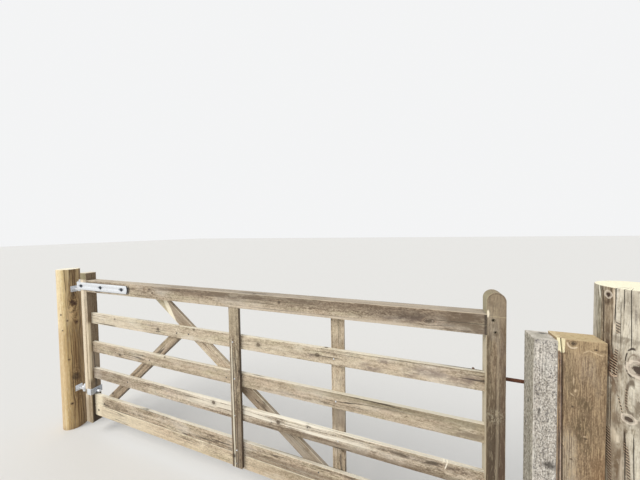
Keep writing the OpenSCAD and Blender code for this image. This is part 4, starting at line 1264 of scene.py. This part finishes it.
# Painted shade: the side that turns towards the gate, away from the lamp, is darker and richer.
shade = pole.ease(bent, -66, -14) * pole.ease(turn, 110, 40)
lower = pole.ease(pole.z + (pole.cloud - 0.5) * 0.05, 0.95, 0.82)
pole.lay(tint(206, 174, 126), lower * (1 - pole.ease(abs(turn + 62), 6, 14)) * 0.2)
pole.lay(tint(214, 186, 140), lower * 0.3)
pole.lay(tint(186, 150, 102), pole.ease(turn + (pole.band - 0.5) * 8, -74, -82) * lower * 0.5)
# Painted shade: colour grows richer from the near face towards the gate side.
pole.lay((0.93, 0.85, 0.68), pole.ease(bent, -84, -50), "MULTIPLY")
fine = pole.speckle(pole.flow, (3.2, 150, 150), 3.0, 0.65, 0.2)
bast = pole.speckle(pole.flow, (1.1, 75, 75), 3.0, 0.6, 0.3)
thread = pole.ease(bast, 0.53, 0.63)
pole.lay(tint(144, 106, 62), thread * (shade * 0.4 + 0.32))
pole.lay(tint(126, 94, 58), pole.ease(pole.dash, 0.56, 0.68) * (shade * 0.35 + 0.22))
pole.lay(tint(255, 246, 218), pole.ease(pole.dash, 0.42, 0.3) * 0.42)
pole.lay(tint(108, 76, 36), shade * (lower * 0.14 + 0.58))
pole.lay(tint(70, 46, 22), pole.ease(fine, 0.51, 0.59) * shade * 0.74)
pole.lay(tint(222, 188, 134), pole.ease(fine, 0.48, 0.39) * shade * 0.58)
# Painted shade, deepest where the pole faces the gate.
pole.lay(tint(84, 56, 26), pole.ease(bent, -26, -8) * 0.3)
bright = pole.ease(abs(turn + 31 + (pole.band - 0.5) * 12), 13, 6) * pole.ease(pole.z, 1.27, 1.33)
pole.lay(tint(232, 208, 160), bright * 0.55)
for at, z, reach, amount in ((-16, 1.13, (22, 0.06), 0.6), (-8, 0.98, (14, 0.07), 0.75),
                             (-38, 1.01, (10, 0.03), 0.2), (-44, 0.80, (5, 0.2), 0.5),
                             (-57, 0.74, (4, 0.12), 0.4), (-36, 1.33, (4, 0.09), 0.3),
                             (-30, 0.2, (12, 0.12), 0.35), (-8, 0.6, (12, 0.3), 0.4)):
    stain = pole.spot(turn, pole.z, (at, z), reach, 0.8) * pole.ease(pole.streak, 0.4, 0.58)
    pole.lay(tint(112, 76, 40), stain * amount)
scrap = pole.speckle(pole.place, (62, 62, 40), 4.0, 0.7, 0.6)
for at, z, reach, amount in ((-8, 1.06, (26, 0.13), 1.0), (-8, 0.40, (24, 0.17), 0.7)):
    zone = pole.spot(turn, pole.z, (at, z), reach, 0.5) * amount
    pole.lay(tint(74, 48, 22), zone * pole.ease(scrap, 0.51, 0.60) * 0.65)
    pole.lay(tint(214, 180, 128), zone * pole.ease(scrap, 0.48, 0.38) * 0.45)
for at, z, reach, amount in ((-33, 1.005, (16, 0.07), 0.42), (-38, 1.20, (9, 0.09), 0.3),
                             (-62, 0.46, (16, 0.12), 0.4)):
    pole.lay(tint(228, 198, 152),
             pole.spot(turn + (pole.band - 0.5) * 12, pole.z, (at, z), reach, 0.7) * amount)
# Painted shadow beside the top hinge.
pole.lay(tint(60, 40, 22), pole.spot(turn, pole.z, (-9, 1.19), (8, 0.045), 0.6)
         * pole.ease(pole.mottle, 0.36, 0.54) * 0.7)
curl = pole.spot(turn + (pole.cloud - 0.5) * 16, pole.z, (-21, 1.015), (12, 0.065), 0.3)
pole.lay(tint(226, 194, 144), curl * pole.ease(scrap, 0.56, 0.50) * 0.6)
for at, z, reach, amount in ((-12, 0.458, (16, 0.03), 0.7), (-35, 0.229, (6, 0.009), 0.6),
                             (-13, 1.119, (9, 0.014), 0.7), (-1, 1.100, (9, 0.013), 0.8)):
    stain = pole.spot(turn + (pole.cloud - 0.5) * 12, pole.z, (at, z), reach, 0.5)
    pole.lay(tint(44, 26, 12), stain * amount)
ring_wood = pole.mix(tint(255, 250, 232), tint(236, 218, 176), pole.late)
soil = pole.ease(pole.z + pole.blotch * 0.1, 0.11, 0.02)
pole.lay(tint(120, 96, 70), soil * 0.5)
sawn = pole.ease(pole.up_facing(), 0.7, 0.9)
pole.lay(ring_wood, sawn)
relief = (pole.streak * 0.6 + pole.fibre * 0.4 + pole.dash * 0.4 + pole.mottle * 0.4
          + pole.late * sawn * 0.5)
pole_finish = pole.finished(tint(100, 62, 34), relief, 0.0012, 0.6, 0.8, 0.08)
hanging.skin(pole_finish)
print("knots on the pole", len(hanging.knots))


# %% Finish of the thick post
post = Wood("thick_post_wood", STILE_GRAIN, 71, pith=(0.03, 0.03), ring=0.0052,
            knots=NO_KNOTS, marked=list(thick.marked()))
tone = (post.streak * 0.4 + post.band * 0.35 + post.fibre * 0.15 + post.mottle * 0.35
        + post.grit * 0.2)
post.colour = post.ramp((tone - 0.725) * 1.6 + 0.55, (0.22, tint(88, 76, 60)),
                        (0.78, tint(224, 217, 201)), (0.38, tint(146, 134, 115)),
                        (0.54, tint(190, 181, 163)))
# Painted shade where the post's left side touches the brown timber.
timber_contact_shade = post.ease((post.x - thick.centre.x) / thick.foot_r + (post.streak - 0.5) * 0.03,
                 -0.966, -0.985)
post.lay(tint(102, 96, 74), timber_contact_shade * 0.6)
post.lay(tint(70, 62, 46), timber_contact_shade * post.ease(post.streak, 0.52, 0.6) * 0.6)
turn = post.node("ShaderNodeMath", {"operation": "ARCTAN2"},
              {0: post.y - thick.centre.y, 1: post.x - thick.centre.x}) * (180 / math.pi)


upper = post.ease(turn + (post.band - 0.5) * 8, -144, -137) * post.ease(post.z, 1.20, 1.26)
post.lay(tint(226, 218, 200), upper * 0.32)
column = (post.ease(abs(turn + 160.2 + (post.streak - 0.5) * 8), 11.5, 9.5)
          * post.ease(post.z, 1.15, 1.24))
post.lay(tint(122, 98, 66), column * (post.mottle * 0.5 + 0.45))
rain = post.speckle(post.place, (210, 210, 16), 3.0, 0.65)
post.lay(tint(58, 42, 28), post.ease(rain, 0.52, 0.61) * (column * 0.4 + 0.3))
post.lay(tint(226, 214, 190), post.ease(rain, 0.47, 0.38) * (column * 0.05 + 0.32))
lower = post.ease(turn + (post.band - 0.5) * 16, -124, -148) * post.ease(post.z, 1.12, 0.93)
post.lay(tint(112, 90, 62), lower * 0.4)
bent, ragged = turn + (post.band - 0.5) * 5, post.z + (post.cloud - 0.5) * 0.02
for centre, size, shade, amount in (
        ((-168.5, 1.36), (3.0, 0.12), tint(88, 78, 58), 0.6),
        ((-161.0, 1.412), (6.0, 0.014), tint(78, 60, 44), 0.75),
        ((-158.0, 1.20), (4.6, 0.10), tint(66, 42, 26), 0.85),
        ((-149.0, 1.172), (7.5, 0.060), tint(92, 64, 42), 0.95),
        ((-151.5, 1.150), (5.0, 0.030), tint(78, 48, 34), 0.6),
        ((-122.6, 1.38), (1.3, 0.028), tint(104, 92, 88), 0.75),
        ((-146.7, 1.095), (6.5, 0.032), tint(98, 74, 50), 0.85),
        ((-152.0, 1.01), (7.0, 0.07), tint(142, 118, 86), 0.45),
        ((-148.0, 0.80), (6.0, 0.10), tint(116, 92, 64), 0.45),
        ((-118.5, 1.185), (8.5, 0.048), tint(112, 92, 78), 0.65),
        ((-141.0, 0.975), (8.0, 0.028), tint(112, 94, 74), 0.8),
        ((-148.0, 1.03), (3.5, 0.06), tint(146, 128, 104), 0.65),
        ((-131.5, 0.982), (1.7, 0.007), tint(46, 34, 22), 0.95),
        ((-131.0, 0.948), (2.6, 0.014), tint(92, 76, 54), 0.85),
        ((-121.0, 0.948), (3.2, 0.014), tint(104, 90, 68), 0.8),
        ((-138.2, 0.84), (2.8, 0.035), tint(116, 98, 76), 0.85),
        ((-141.4, 0.79), (3.6, 0.06), tint(104, 84, 62), 0.9),
        ((-135.4, 0.78), (1.6, 0.055), tint(232, 218, 196), 0.85),
        ((-146.4, 0.905), (4.6, 0.028), tint(224, 210, 186), 0.8),
        ((-139.0, 0.892), (2.8, 0.026), tint(226, 214, 192), 0.8),
        ((-134.0, 0.81), (6.0, 0.12), tint(112, 94, 74), 0.55),
        ((-147.5, 0.80), (4.0, 0.13), tint(104, 84, 60), 0.5),
        ((-128.0, 0.82), (3.0, 0.08), tint(112, 96, 78), 0.6),
        ((-139.5, 1.185), (3.6, 0.050), tint(104, 86, 66), 0.8),
        ((-128.5, 1.42), (8.0, 0.05), tint(146, 136, 120), 0.65),
        ((-132.0, 1.10), (3.0, 0.16), tint(128, 114, 96), 0.5),
        ((-116.0, 1.02), (6.0, 0.09), tint(118, 104, 86), 0.9),
        ((-116.0, 1.19), (4.0, 0.04), tint(118, 100, 84), 0.7),
        ((-118.5, 0.90), (6.0, 0.10), tint(214, 208, 190), 0.3),
        ((-121.0, 1.12), (6.0, 0.02), tint(232, 226, 208), 0.5)):
    patch = post.spot(bent, ragged, centre, size, 0.5)
    post.lay(shade, patch * post.ease(post.mottle, 0.34, 0.56) * amount)
for (a0, z0), lean, half, low_end, shade, amount in (
        ((-149.7, 1.455), 8.8, 1.0, 1.30, tint(232, 214, 190), 0.75),
        ((-177.4, 1.461), 69.0, 1.5, 1.42, tint(240, 234, 216), 0.85),
        ((-168.2, 1.455), 12.0, 1.0, 1.20, tint(50, 34, 22), 0.75),
        ((-155.8, 1.125), 5.0, 0.5, 0.925, tint(74, 50, 26), 0.8),
        ((-152.2, 1.125), 5.0, 0.5, 0.925, tint(66, 44, 24), 0.8),
        ((-132.1, 0.935), 8.0, 0.5, 0.40, tint(40, 28, 16), 0.9),
        ((-132.3, 0.935), 4.0, 1.3, 0.875, tint(52, 38, 22), 0.85)):
    off = abs(turn - a0 - (z0 - post.z) * lean + (post.cloud - 0.5) * half)
    strip = (post.ease(off, half * 1.3, half * 0.7)
             * post.ease(post.z, low_end - 0.01, low_end + 0.01))
    strip = strip * post.ease(post.z, z0 + 0.012, z0 - 0.002)
    post.lay(shade, strip * post.ease(post.mottle, 0.3, 0.44) * amount)
for centre, size, thickness, shade, amount in (
        ((-124.5, 1.203), (8.8, 0.052), 0.13, tint(46, 34, 26), 0.95),
        ((-123.5, 1.198), (6.6, 0.036), 0.14, tint(108, 88, 70), 0.65),
        ((-124.5, 1.070), (7.2, 0.060), 0.28, tint(92, 78, 62), 0.8)):
    swirl = post.ring(turn, post.z + (post.cloud - 0.5) * 0.012, centre, size, thickness)
    swirl = swirl * post.ease(turn, centre[0] + 4, centre[0] + 1)
    post.lay(shade, swirl * post.ease(post.mottle, 0.32, 0.46) * amount)
notch = (post.z * 96 + turn * 0.075 + (post.cloud - 0.5) * 0.5).fraction()
rungs = post.ease(notch, 0.18, 0.36) * post.ease(notch, 0.98, 0.80)
ticks = 0.0
for (a0, z0), (a1, z1), half, amount in (
        ((-144.5, 1.235), (-147.4, 1.195), 2.4, 0.8),
        ((-148.6, 1.195), (-149.2, 1.133), 5.6, 0.95),
        ((-143.4, 1.340), (-143.4, 1.300), 3.2, 0.75),
        ((-141.4, 1.064), (-134.5, 0.998), 1.0, 0.9),
        ((-131.6, 0.900), (-131.2, 0.860), 1.5, 0.8),
        ((-129.4, 0.885), (-124.8, 0.740), 2.3, 0.75),
        ((-155.2, 0.925), (-150.6, 0.70), 3.6, 1.0),
        ((-131.0, 1.10), (-131.0, 1.03), 1.6, 0.5)):
    off = abs(turn - a0 - (post.z - z0) * ((a1 - a0) / (z1 - z0)))
    half_z = abs(z1 - z0) / 2
    within = post.ease(abs(post.z - (z0 + z1) / 2), half_z + 0.008, half_z - 0.004)
    tick = post.ease(off + (post.cloud - 0.5) * half, half * 1.15, half * 0.75)
    ticks = tick * within * amount + ticks
ticks = ticks * post.ease(post.mottle, 0.26, 0.44)
post.lay(tint(196, 168, 138), ticks * (1 - rungs) * 0.65)
ticks = ticks * rungs
post.lay(tint(40, 26, 16), ticks)
curl = (post.ring(turn, post.z, (-148.5, 1.145), (5.5, 0.013), 0.24)
        * post.ease(post.z, 1.142, 1.136))
post.lay(tint(222, 196, 170), curl * 0.8)
post.lay(tint(96, 82, 62), post.ease(post.dash, 0.56, 0.68) * 0.45)
belt = post.ease(abs(post.z - 1.276 + (post.cloud - 0.5) * 0.012), 0.018, 0.009)
belt = belt * post.ease(post.y - thick.centre.y + (post.cloud - 0.5) * 0.08, 0.0, -0.06)
post.lay(tint(118, 106, 90), belt * post.ease(post.mottle, 0.36, 0.52) * 0.6)
heart = post.mix(tint(255, 250, 226), tint(240, 226, 184), post.late)
sawn = post.ease(post.up_facing(), 0.7, 0.9)
post.lay(heart, sawn)
relief = (post.streak * 0.6 + post.fibre * 0.4 + post.dash * 0.4 + post.mottle * 0.6 - ticks * 0.15
          + post.late * sawn * 0.4)
hollow_z = post.z + (post.cloud - 0.5) * 0.004
hollow = post.spot(turn, hollow_z, (-158.8, 1.4385), (2.5, 0.0062), 0.35)
post.lay(tint(30, 20, 16), hollow * 0.9)
thick_finish = post.finished(tint(84, 64, 50), relief, 0.0016, halo=0.6,
                             ring=tint(230, 216, 198))
thick.skin(thick_finish, columns=120)
print("knots on the thick post", len(thick.knots))

# %% [markdown]
# ## Ironwork
# The hinges are dipped in zinc, which freezes in flat crystals of different greys. The latch
# bar and its staples have no zinc left and are brown with rust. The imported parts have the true
# shape with knife-sharp edges, so each is copied, its doubles are merged and its edges get a
# narrow bevel that catches the light.


# %% Metal finishes
def zinc_finish(name, dull, shaded=0.0, bolts=()):
    """Zinc with its crystals, with painted shade on faces that look down and, by a share, along the
    gate.
    """
    zinc = Finish(name)
    x, y, z = zinc.parts(zinc.place)
    crystal = zinc.node("ShaderNodeTexVoronoi", None, {
        "Vector": zinc.place, "Scale": 130.0, "Randomness": 1.0}, out="Color")
    shade = zinc.parts(crystal)[0]
    cloud = zinc.speckle(zinc.place, (28, 28, 28), 3.0)
    zinc.colour = zinc.mix(tint(240, 242, 246), tint(186, 194, 200),
                           shade * 0.28 + cloud * dull)
    white = zinc.ease(zinc.speckle(zinc.place, (60, 60, 60), 4.0, 0.7), 0.56, 0.68)
    zinc.lay(tint(150, 156, 160), white * dull * 0.6)
    face_x, _, face_z = zinc.parts(zinc.node("ShaderNodeNewGeometry", out="Normal"))
    # Painted shade on faces that look down.
    zinc.lay(tint(70, 76, 88), zinc.ease(face_z, -0.4, -0.8) * 0.75)
    # Painted shade on faces that look along +X; with bolts, only at the band's end.
    side = zinc.ease(face_x, 0.35, 0.85) * (zinc.ease(x, 0.80, 0.82) if bolts else 1.0)
    zinc.lay(tint(68, 74, 88), side * shaded)
    if bolts:
        # Painted shade at the rounded tip of the band.
        strap_end_shade = zinc.ease(x + abs(z - bolts[0][1]) * 0.3, 0.8240, 0.8295)
        zinc.lay(tint(56, 62, 74), strap_end_shade * 0.85)
    for bolt in bolts:
        halo = zinc.spot(x, z, bolt, (0.025, 0.0095), 0.6)
        zinc.lay(tint(52, 66, 80), halo * 0.8)
    rough = zinc.ease(cloud, 0.3, 0.7, 0.34, 0.55) + shade * 0.08
    return zinc.surface(rough, 0.62, shade * 0.3 + cloud, 0.0004, 0.5)


def rust_finish(name, dark, bright, metal):
    rust = Finish(name)
    crust = rust.speckle(rust.place, (160, 160, 160), 4.0, 0.7)
    patch = rust.speckle(rust.place, (26, 26, 26), 3.0, 0.6)
    between = tuple((a + b) / 2 for a, b in zip(dark, bright))
    rust.colour = rust.ramp(crust * 0.6 + patch * 0.4, (0.34, dark), (0.7, bright),
                            (0.52, between))
    return rust.surface(rust.ease(crust, 0.3, 0.7, 0.7, 0.92), metal, crust, 0.0006, 0.8)


bolt_low, bolt_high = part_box("band_bolts")
bolt_z = (bolt_low.z + bolt_high.z) / 2
bolt_step = 0.251
first_bolt = (bolt_low.x + bolt_high.x) / 2 - bolt_step
# The band gets strong painted shade on the faces of its end and at its rounded tip.
band_zinc = zinc_finish("band_zinc", 0.12, 0.9, [
    (first_bolt + i * bolt_step - 0.003, bolt_z + 0.001) for i in range(3)])
hook_zinc = zinc_finish("hook_zinc", 0.2, 0.2)
# A paler copy with no painted side shade, as painted light on the washers, nuts and eye bolt.
lit_zinc = zinc_finish("lit_zinc", 0.1)
# A copy with painted shade on its side faces, for the bracket.
painted_shade_zinc = zinc_finish("painted_shade_zinc", 0.25, 0.45)
# A duller copy with deep painted shade on its side faces, for the eye bolt's washer and nuts.
dull_and_shaded_zinc = zinc_finish("dull_and_shaded_zinc", 0.9, 0.85)
dark_iron = rust_finish("dark_bolt_iron", tint(34, 38, 46), tint(84, 90, 100), 0.5)
rusty_iron = rust_finish("rusty_iron", tint(62, 36, 26), tint(134, 84, 56), 0.15)
print("metal finishes ready")


# %% Soften the edges of packed metal parts
def dressed(node, body, finish, slot, soften):
    """A copy of a CAD part with merged points and bevelled edges, which stands for it."""
    form = bmesh.new()
    form.from_mesh(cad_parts[node].data)
    bmesh.ops.remove_doubles(form, verts=form.verts, dist=1e-6)
    bmesh.ops.dissolve_limit(form, angle_limit=math.radians(1), verts=form.verts,
                             edges=form.edges)
    sharp = [e for e in form.edges
             if len(e.link_faces) == 2 and e.calc_face_angle(0) > math.radians(28)]
    bmesh.ops.bevel(form, geom=sharp, offset=soften, segments=2, profile=0.5, affect="EDGES",
                    clamp_overlap=True)
    mesh = bpy.data.meshes.new(node + "_metal")
    form.to_mesh(mesh)
    form.free()
    mesh.materials.clear()
    mesh.materials.append(finish)
    mesh.shade_smooth()
    mesh.set_sharp_from_angle(angle=math.radians(35))
    piece = linked(node + "_metal", mesh)
    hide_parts(node)
    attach(piece, body)
    print(piece.name, "faces", len(mesh.polygons))


metal_parts = (
    ("top_hook", "posts", hook_zinc, "galvanised", 0.0008),
    ("top_hook_washers", "posts", hook_zinc, "galvanised", 0.0008),
    ("top_hook_nuts", "posts", hook_zinc, "galvanised", 0.0012),
    ("bottom_hook", "posts", hook_zinc, "galvanised", 0.0008),
    ("bottom_hook_washers", "posts", lit_zinc, "galvanised", 0.0008),
    ("bottom_hook_nuts", "posts", lit_zinc, "galvanised", 0.0012),
    ("top_band", "gate", band_zinc, "galvanised", 0.0009),
    ("band_bolts", "gate", dark_iron, "dark_bolt", 0.0006),
    ("bottom_eye_bolt", "gate", lit_zinc, "galvanised", 0.0010),
    ("bottom_bracket", "gate", painted_shade_zinc, "galvanised", 0.0009),
    ("bottom_eye_washer", "gate", dull_and_shaded_zinc, "galvanised", 0.0008),
    ("bottom_eye_nuts", "gate", dull_and_shaded_zinc, "galvanised", 0.0012),
    ("stile_staple", "gate", rusty_iron, "rusty_iron", 0.0004),
    ("rail_staple", "gate", rusty_iron, "rusty_iron", 0.0004),
    ("latch_bar", "latch", rusty_iron, "rusty_iron", 0.0006))
for part in metal_parts:
    dressed(*part)

# %% [markdown]
# ## Nails
# One nail holds each board at each crossing. A nail head is a small thing that repeats at
# places that no formula gives, so Geometry Nodes put one tree's head on every point of a mesh
# that only holds the places. The tree has its sizes as inputs and turns each head by a random
# amount with a fixed seed.


# %% What every growing tree shares
def growing_tree(name, sizes):
    """A tree of Geometry Nodes that takes places, the given sizes and a finish."""
    tree = bpy.data.node_groups.new(name, "GeometryNodeTree")
    tree.interface.new_socket("Geometry", in_out="INPUT", socket_type="NodeSocketGeometry")
    for label, start in sizes:
        made = tree.interface.new_socket(label, in_out="INPUT", socket_type="NodeSocketFloat")
        made.default_value = start
    tree.interface.new_socket("Finish", in_out="INPUT", socket_type="NodeSocketMaterial")
    tree.interface.new_socket("Geometry", in_out="OUTPUT", socket_type="NodeSocketGeometry")
    return tree, tree.nodes.new("NodeGroupInput")


def spread_out(tree, source, form):
    """Sets the form on every place, gives it the finish, and returns its rotation socket."""
    spread = tree.nodes.new("GeometryNodeInstanceOnPoints")
    whole = tree.nodes.new("GeometryNodeRealizeInstances")
    coat = tree.nodes.new("GeometryNodeSetMaterial")
    sink = tree.nodes.new("NodeGroupOutput")
    link = tree.links.new
    link(source.outputs["Geometry"], spread.inputs["Points"])
    link(form, spread.inputs["Instance"])
    link(spread.outputs["Instances"], whole.inputs["Geometry"])
    link(whole.outputs["Geometry"], coat.inputs["Geometry"])
    link(source.outputs["Finish"], coat.inputs["Material"])
    link(coat.outputs["Geometry"], sink.inputs["Geometry"])
    return spread.inputs["Rotation"]


print("growing helpers ready")


# %% A node tree that sets nail heads
def nail_tree():
    tree, source = growing_tree("nail_heads", (("Head Radius", 0.004), ("Head Height", 0.0016)))
    head = tree.nodes.new("GeometryNodeMeshCone")
    head.inputs["Vertices"].default_value = 14
    shrink = tree.nodes.new("ShaderNodeMath")
    shrink.operation = "MULTIPLY"
    shrink.inputs[1].default_value = 0.72
    turn = tree.nodes.new("FunctionNodeRandomValue")
    turn.data_type = "FLOAT_VECTOR"
    turn.inputs[0].default_value = (math.pi / 2 - 0.09, -0.09, 0)
    turn.inputs[1].default_value = (math.pi / 2 + 0.09, 0.09, 6.2)
    turn.inputs["Seed"].default_value = 4
    link = tree.links.new
    link(source.outputs["Head Radius"], head.inputs["Radius Bottom"])
    link(source.outputs["Head Radius"], shrink.inputs[0])
    link(shrink.outputs[0], head.inputs["Radius Top"])
    link(source.outputs["Head Height"], head.inputs["Depth"])
    link(turn.outputs[0], spread_out(tree, source, head.outputs["Mesh"]))
    return tree


heads = nail_tree()
print("nail tree inputs", [s.name for s in heads.interface.items_tree if s.in_out == "INPUT"])


# %% Run a node tree over a mesh of places
def grown(name, places, tree, inputs, body):
    """The tree's result on a mesh that holds places, as a plain piece on one body."""
    mesh = bpy.data.meshes.new(name + "_places")
    mesh.from_pydata([tuple(p) for p in places], [], [])
    holder = linked(name, mesh)
    step = holder.modifiers.new("grow", "NODES")
    step.node_group = tree
    sockets = {s.name: s.identifier for s in tree.interface.items_tree if s.in_out == "INPUT"}
    for label, value in inputs.items():
        step[sockets[label]] = value
    graph = bpy.context.evaluated_depsgraph_get()
    result = bpy.data.meshes.new_from_object(holder.evaluated_get(graph))
    holder.modifiers.clear()
    holder.data = result
    result.name = name
    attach(holder, body)
    print(name, "faces", len(result.polygons))


rail_face, upright_face = -0.0114, -0.0334
nail_finish = zinc_finish("nail_zinc", 0.4)
nail_places = [Vector((x, upright_face, z)) for x, z in (
    (1.790, 1.003), (1.796, 0.768), (1.792, 0.528), (1.799, 0.300), (1.797, 0.215))]
far_places = [Vector((x, rail_face, z)) for x, z in (
    (2.452, 0.990), (2.460, 0.752), (2.470, 0.529), (2.468, 0.300), (2.470, 0.215))]
rail_places = [Vector((x, rail_face, z)) for x, z in (
    (1.287, 0.991), (1.397, 0.996), (1.000, 0.748), (0.742, 0.530), (0.440, 0.286),
    (0.362, 0.217), (1.712, 0.748), (2.045, 0.530), (2.285, 0.560), (2.352, 0.312))]
grown("nail_heads", nail_places + far_places, heads, {
    "Head Radius": 0.0052, "Head Height": 0.0018, "Finish": nail_finish}, "gate")
grown("rail_nails", rail_places, heads, {
    "Head Radius": 0.0048, "Head Height": 0.0015, "Finish": dark_iron}, "gate")

# %% [markdown]
# ## Screw threads
# The hooks and the eye bolt end in a screw thread. A thread is a path, so Geometry Nodes sweep
# a four-sided profile along a spiral and lay it over the last stretch of each shank.


# %% A node tree that winds a thread
def thread_tree():
    tree, source = growing_tree("screw_thread", (
        ("Radius", 0.0098), ("Length", 0.012), ("Turns", 5.0)))
    spiral = tree.nodes.new("GeometryNodeCurveSpiral")
    spiral.inputs["Resolution"].default_value = 28
    ridge = tree.nodes.new("GeometryNodeCurvePrimitiveCircle")
    ridge.inputs["Resolution"].default_value = 4
    ridge.inputs["Radius"].default_value = 0.0009
    sweep = tree.nodes.new("GeometryNodeCurveToMesh")
    sweep.inputs["Fill Caps"].default_value = True
    link = tree.links.new
    link(source.outputs["Radius"], spiral.inputs["Start Radius"])
    link(source.outputs["Radius"], spiral.inputs["End Radius"])
    link(source.outputs["Length"], spiral.inputs["Height"])
    link(source.outputs["Turns"], spiral.inputs["Rotations"])
    link(spiral.outputs["Curve"], sweep.inputs["Curve"])
    link(ridge.outputs["Curve"], sweep.inputs["Profile Curve"])
    spread_out(tree, source, sweep.outputs["Mesh"]).default_value = (0, math.pi / 2, 0)
    return tree


THREAD_RADIUS = 0.0095
threads = thread_tree()
hook_shanks = [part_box(n)[0].x for n in ("top_hook", "bottom_hook")]
hook_heights = [(seat[0] + seat[1]) / 2 for seat in hook_seats]
grown("hook_threads", [Vector((x + 0.0016, 0, z)) for x, z in zip(hook_shanks, hook_heights)],
      threads, {"Radius": THREAD_RADIUS, "Length": 0.0115, "Turns": 5.0, "Finish": hook_zinc},
      "posts")
eye_low, eye_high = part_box("bottom_eye_bolt")
grown("eye_bolt_thread", [Vector((eye_high.x - 0.0256, 0, (eye_low.z + eye_high.z) / 2))],
      threads, {"Radius": THREAD_RADIUS, "Length": 0.0235, "Turns": 10.0, "Finish": hook_zinc},
      "gate")

# %% [markdown]
# ## Floor and light
# The gate stands on a plain pale floor under an even sky. One soft lamp stands high at the
# left, because in the picture every left side is bright and the near faces lie in mild shade.
# Rays that go straight from the eye, or off metal, see a pale background instead of the sky's
# working strength, so the background never lights the wood.

# %% Floor
floor_mesh = bpy.data.meshes.new("floor")
REACH = 60
floor_mesh.from_pydata([(-REACH, -REACH, 0), (REACH, -REACH, 0), (REACH, REACH, 0),
                        (-REACH, REACH, 0)], [], [(0, 1, 2, 3)])
floor = linked("floor", floor_mesh)
ground = Finish("pale_floor")
ground.colour = (0.72, 0.71, 0.69)
floor_mesh.materials.append(ground.surface(0.95))
print("floor ready")

# %% Sky and lamp
world = bpy.data.worlds.new("sky")
bpy.context.scene.world = world
world.use_nodes = True
sky = world.node_tree
sky.nodes.clear()


def sky_node(kind):
    return sky.nodes.new(kind)


path, seen, working = (sky_node("ShaderNodeLightPath"), sky_node("ShaderNodeBackground"),
                       sky_node("ShaderNodeBackground"))
seen.inputs["Color"].default_value = (0.90, 0.905, 0.91, 1)
working.inputs["Color"].default_value = (0.95, 0.975, 1.0, 1)
working.inputs["Strength"].default_value = 0.72
most = [sky_node("ShaderNodeMath") for _ in range(2)]
for node in most:
    node.operation = "MAXIMUM"
choose, out = sky_node("ShaderNodeMixShader"), sky_node("ShaderNodeOutputWorld")
sky.links.new(path.outputs["Is Camera Ray"], most[0].inputs[0])
sky.links.new(path.outputs["Is Glossy Ray"], most[0].inputs[1])
sky.links.new(most[0].outputs[0], most[1].inputs[0])
sky.links.new(path.outputs["Is Transmission Ray"], most[1].inputs[1])
sky.links.new(most[1].outputs[0], choose.inputs["Fac"])
sky.links.new(working.outputs[0], choose.inputs[1])
sky.links.new(seen.outputs[0], choose.inputs[2])
sky.links.new(choose.outputs[0], out.inputs["Surface"])

lamp_data = bpy.data.lights.new("soft_lamp", "SUN")
lamp_data.energy = 2.0
lamp_data.angle = math.radians(34)
lamp_data.color = (1.0, 0.97, 0.92)
lamp = linked("soft_lamp", lamp_data)
lamp.rotation_euler = Vector((-0.46, -0.60, 0.66)).to_track_quat("Z", "Y").to_euler()
bpy.context.scene.view_settings.view_transform = "Standard"
print("lamp energy", lamp_data.energy)
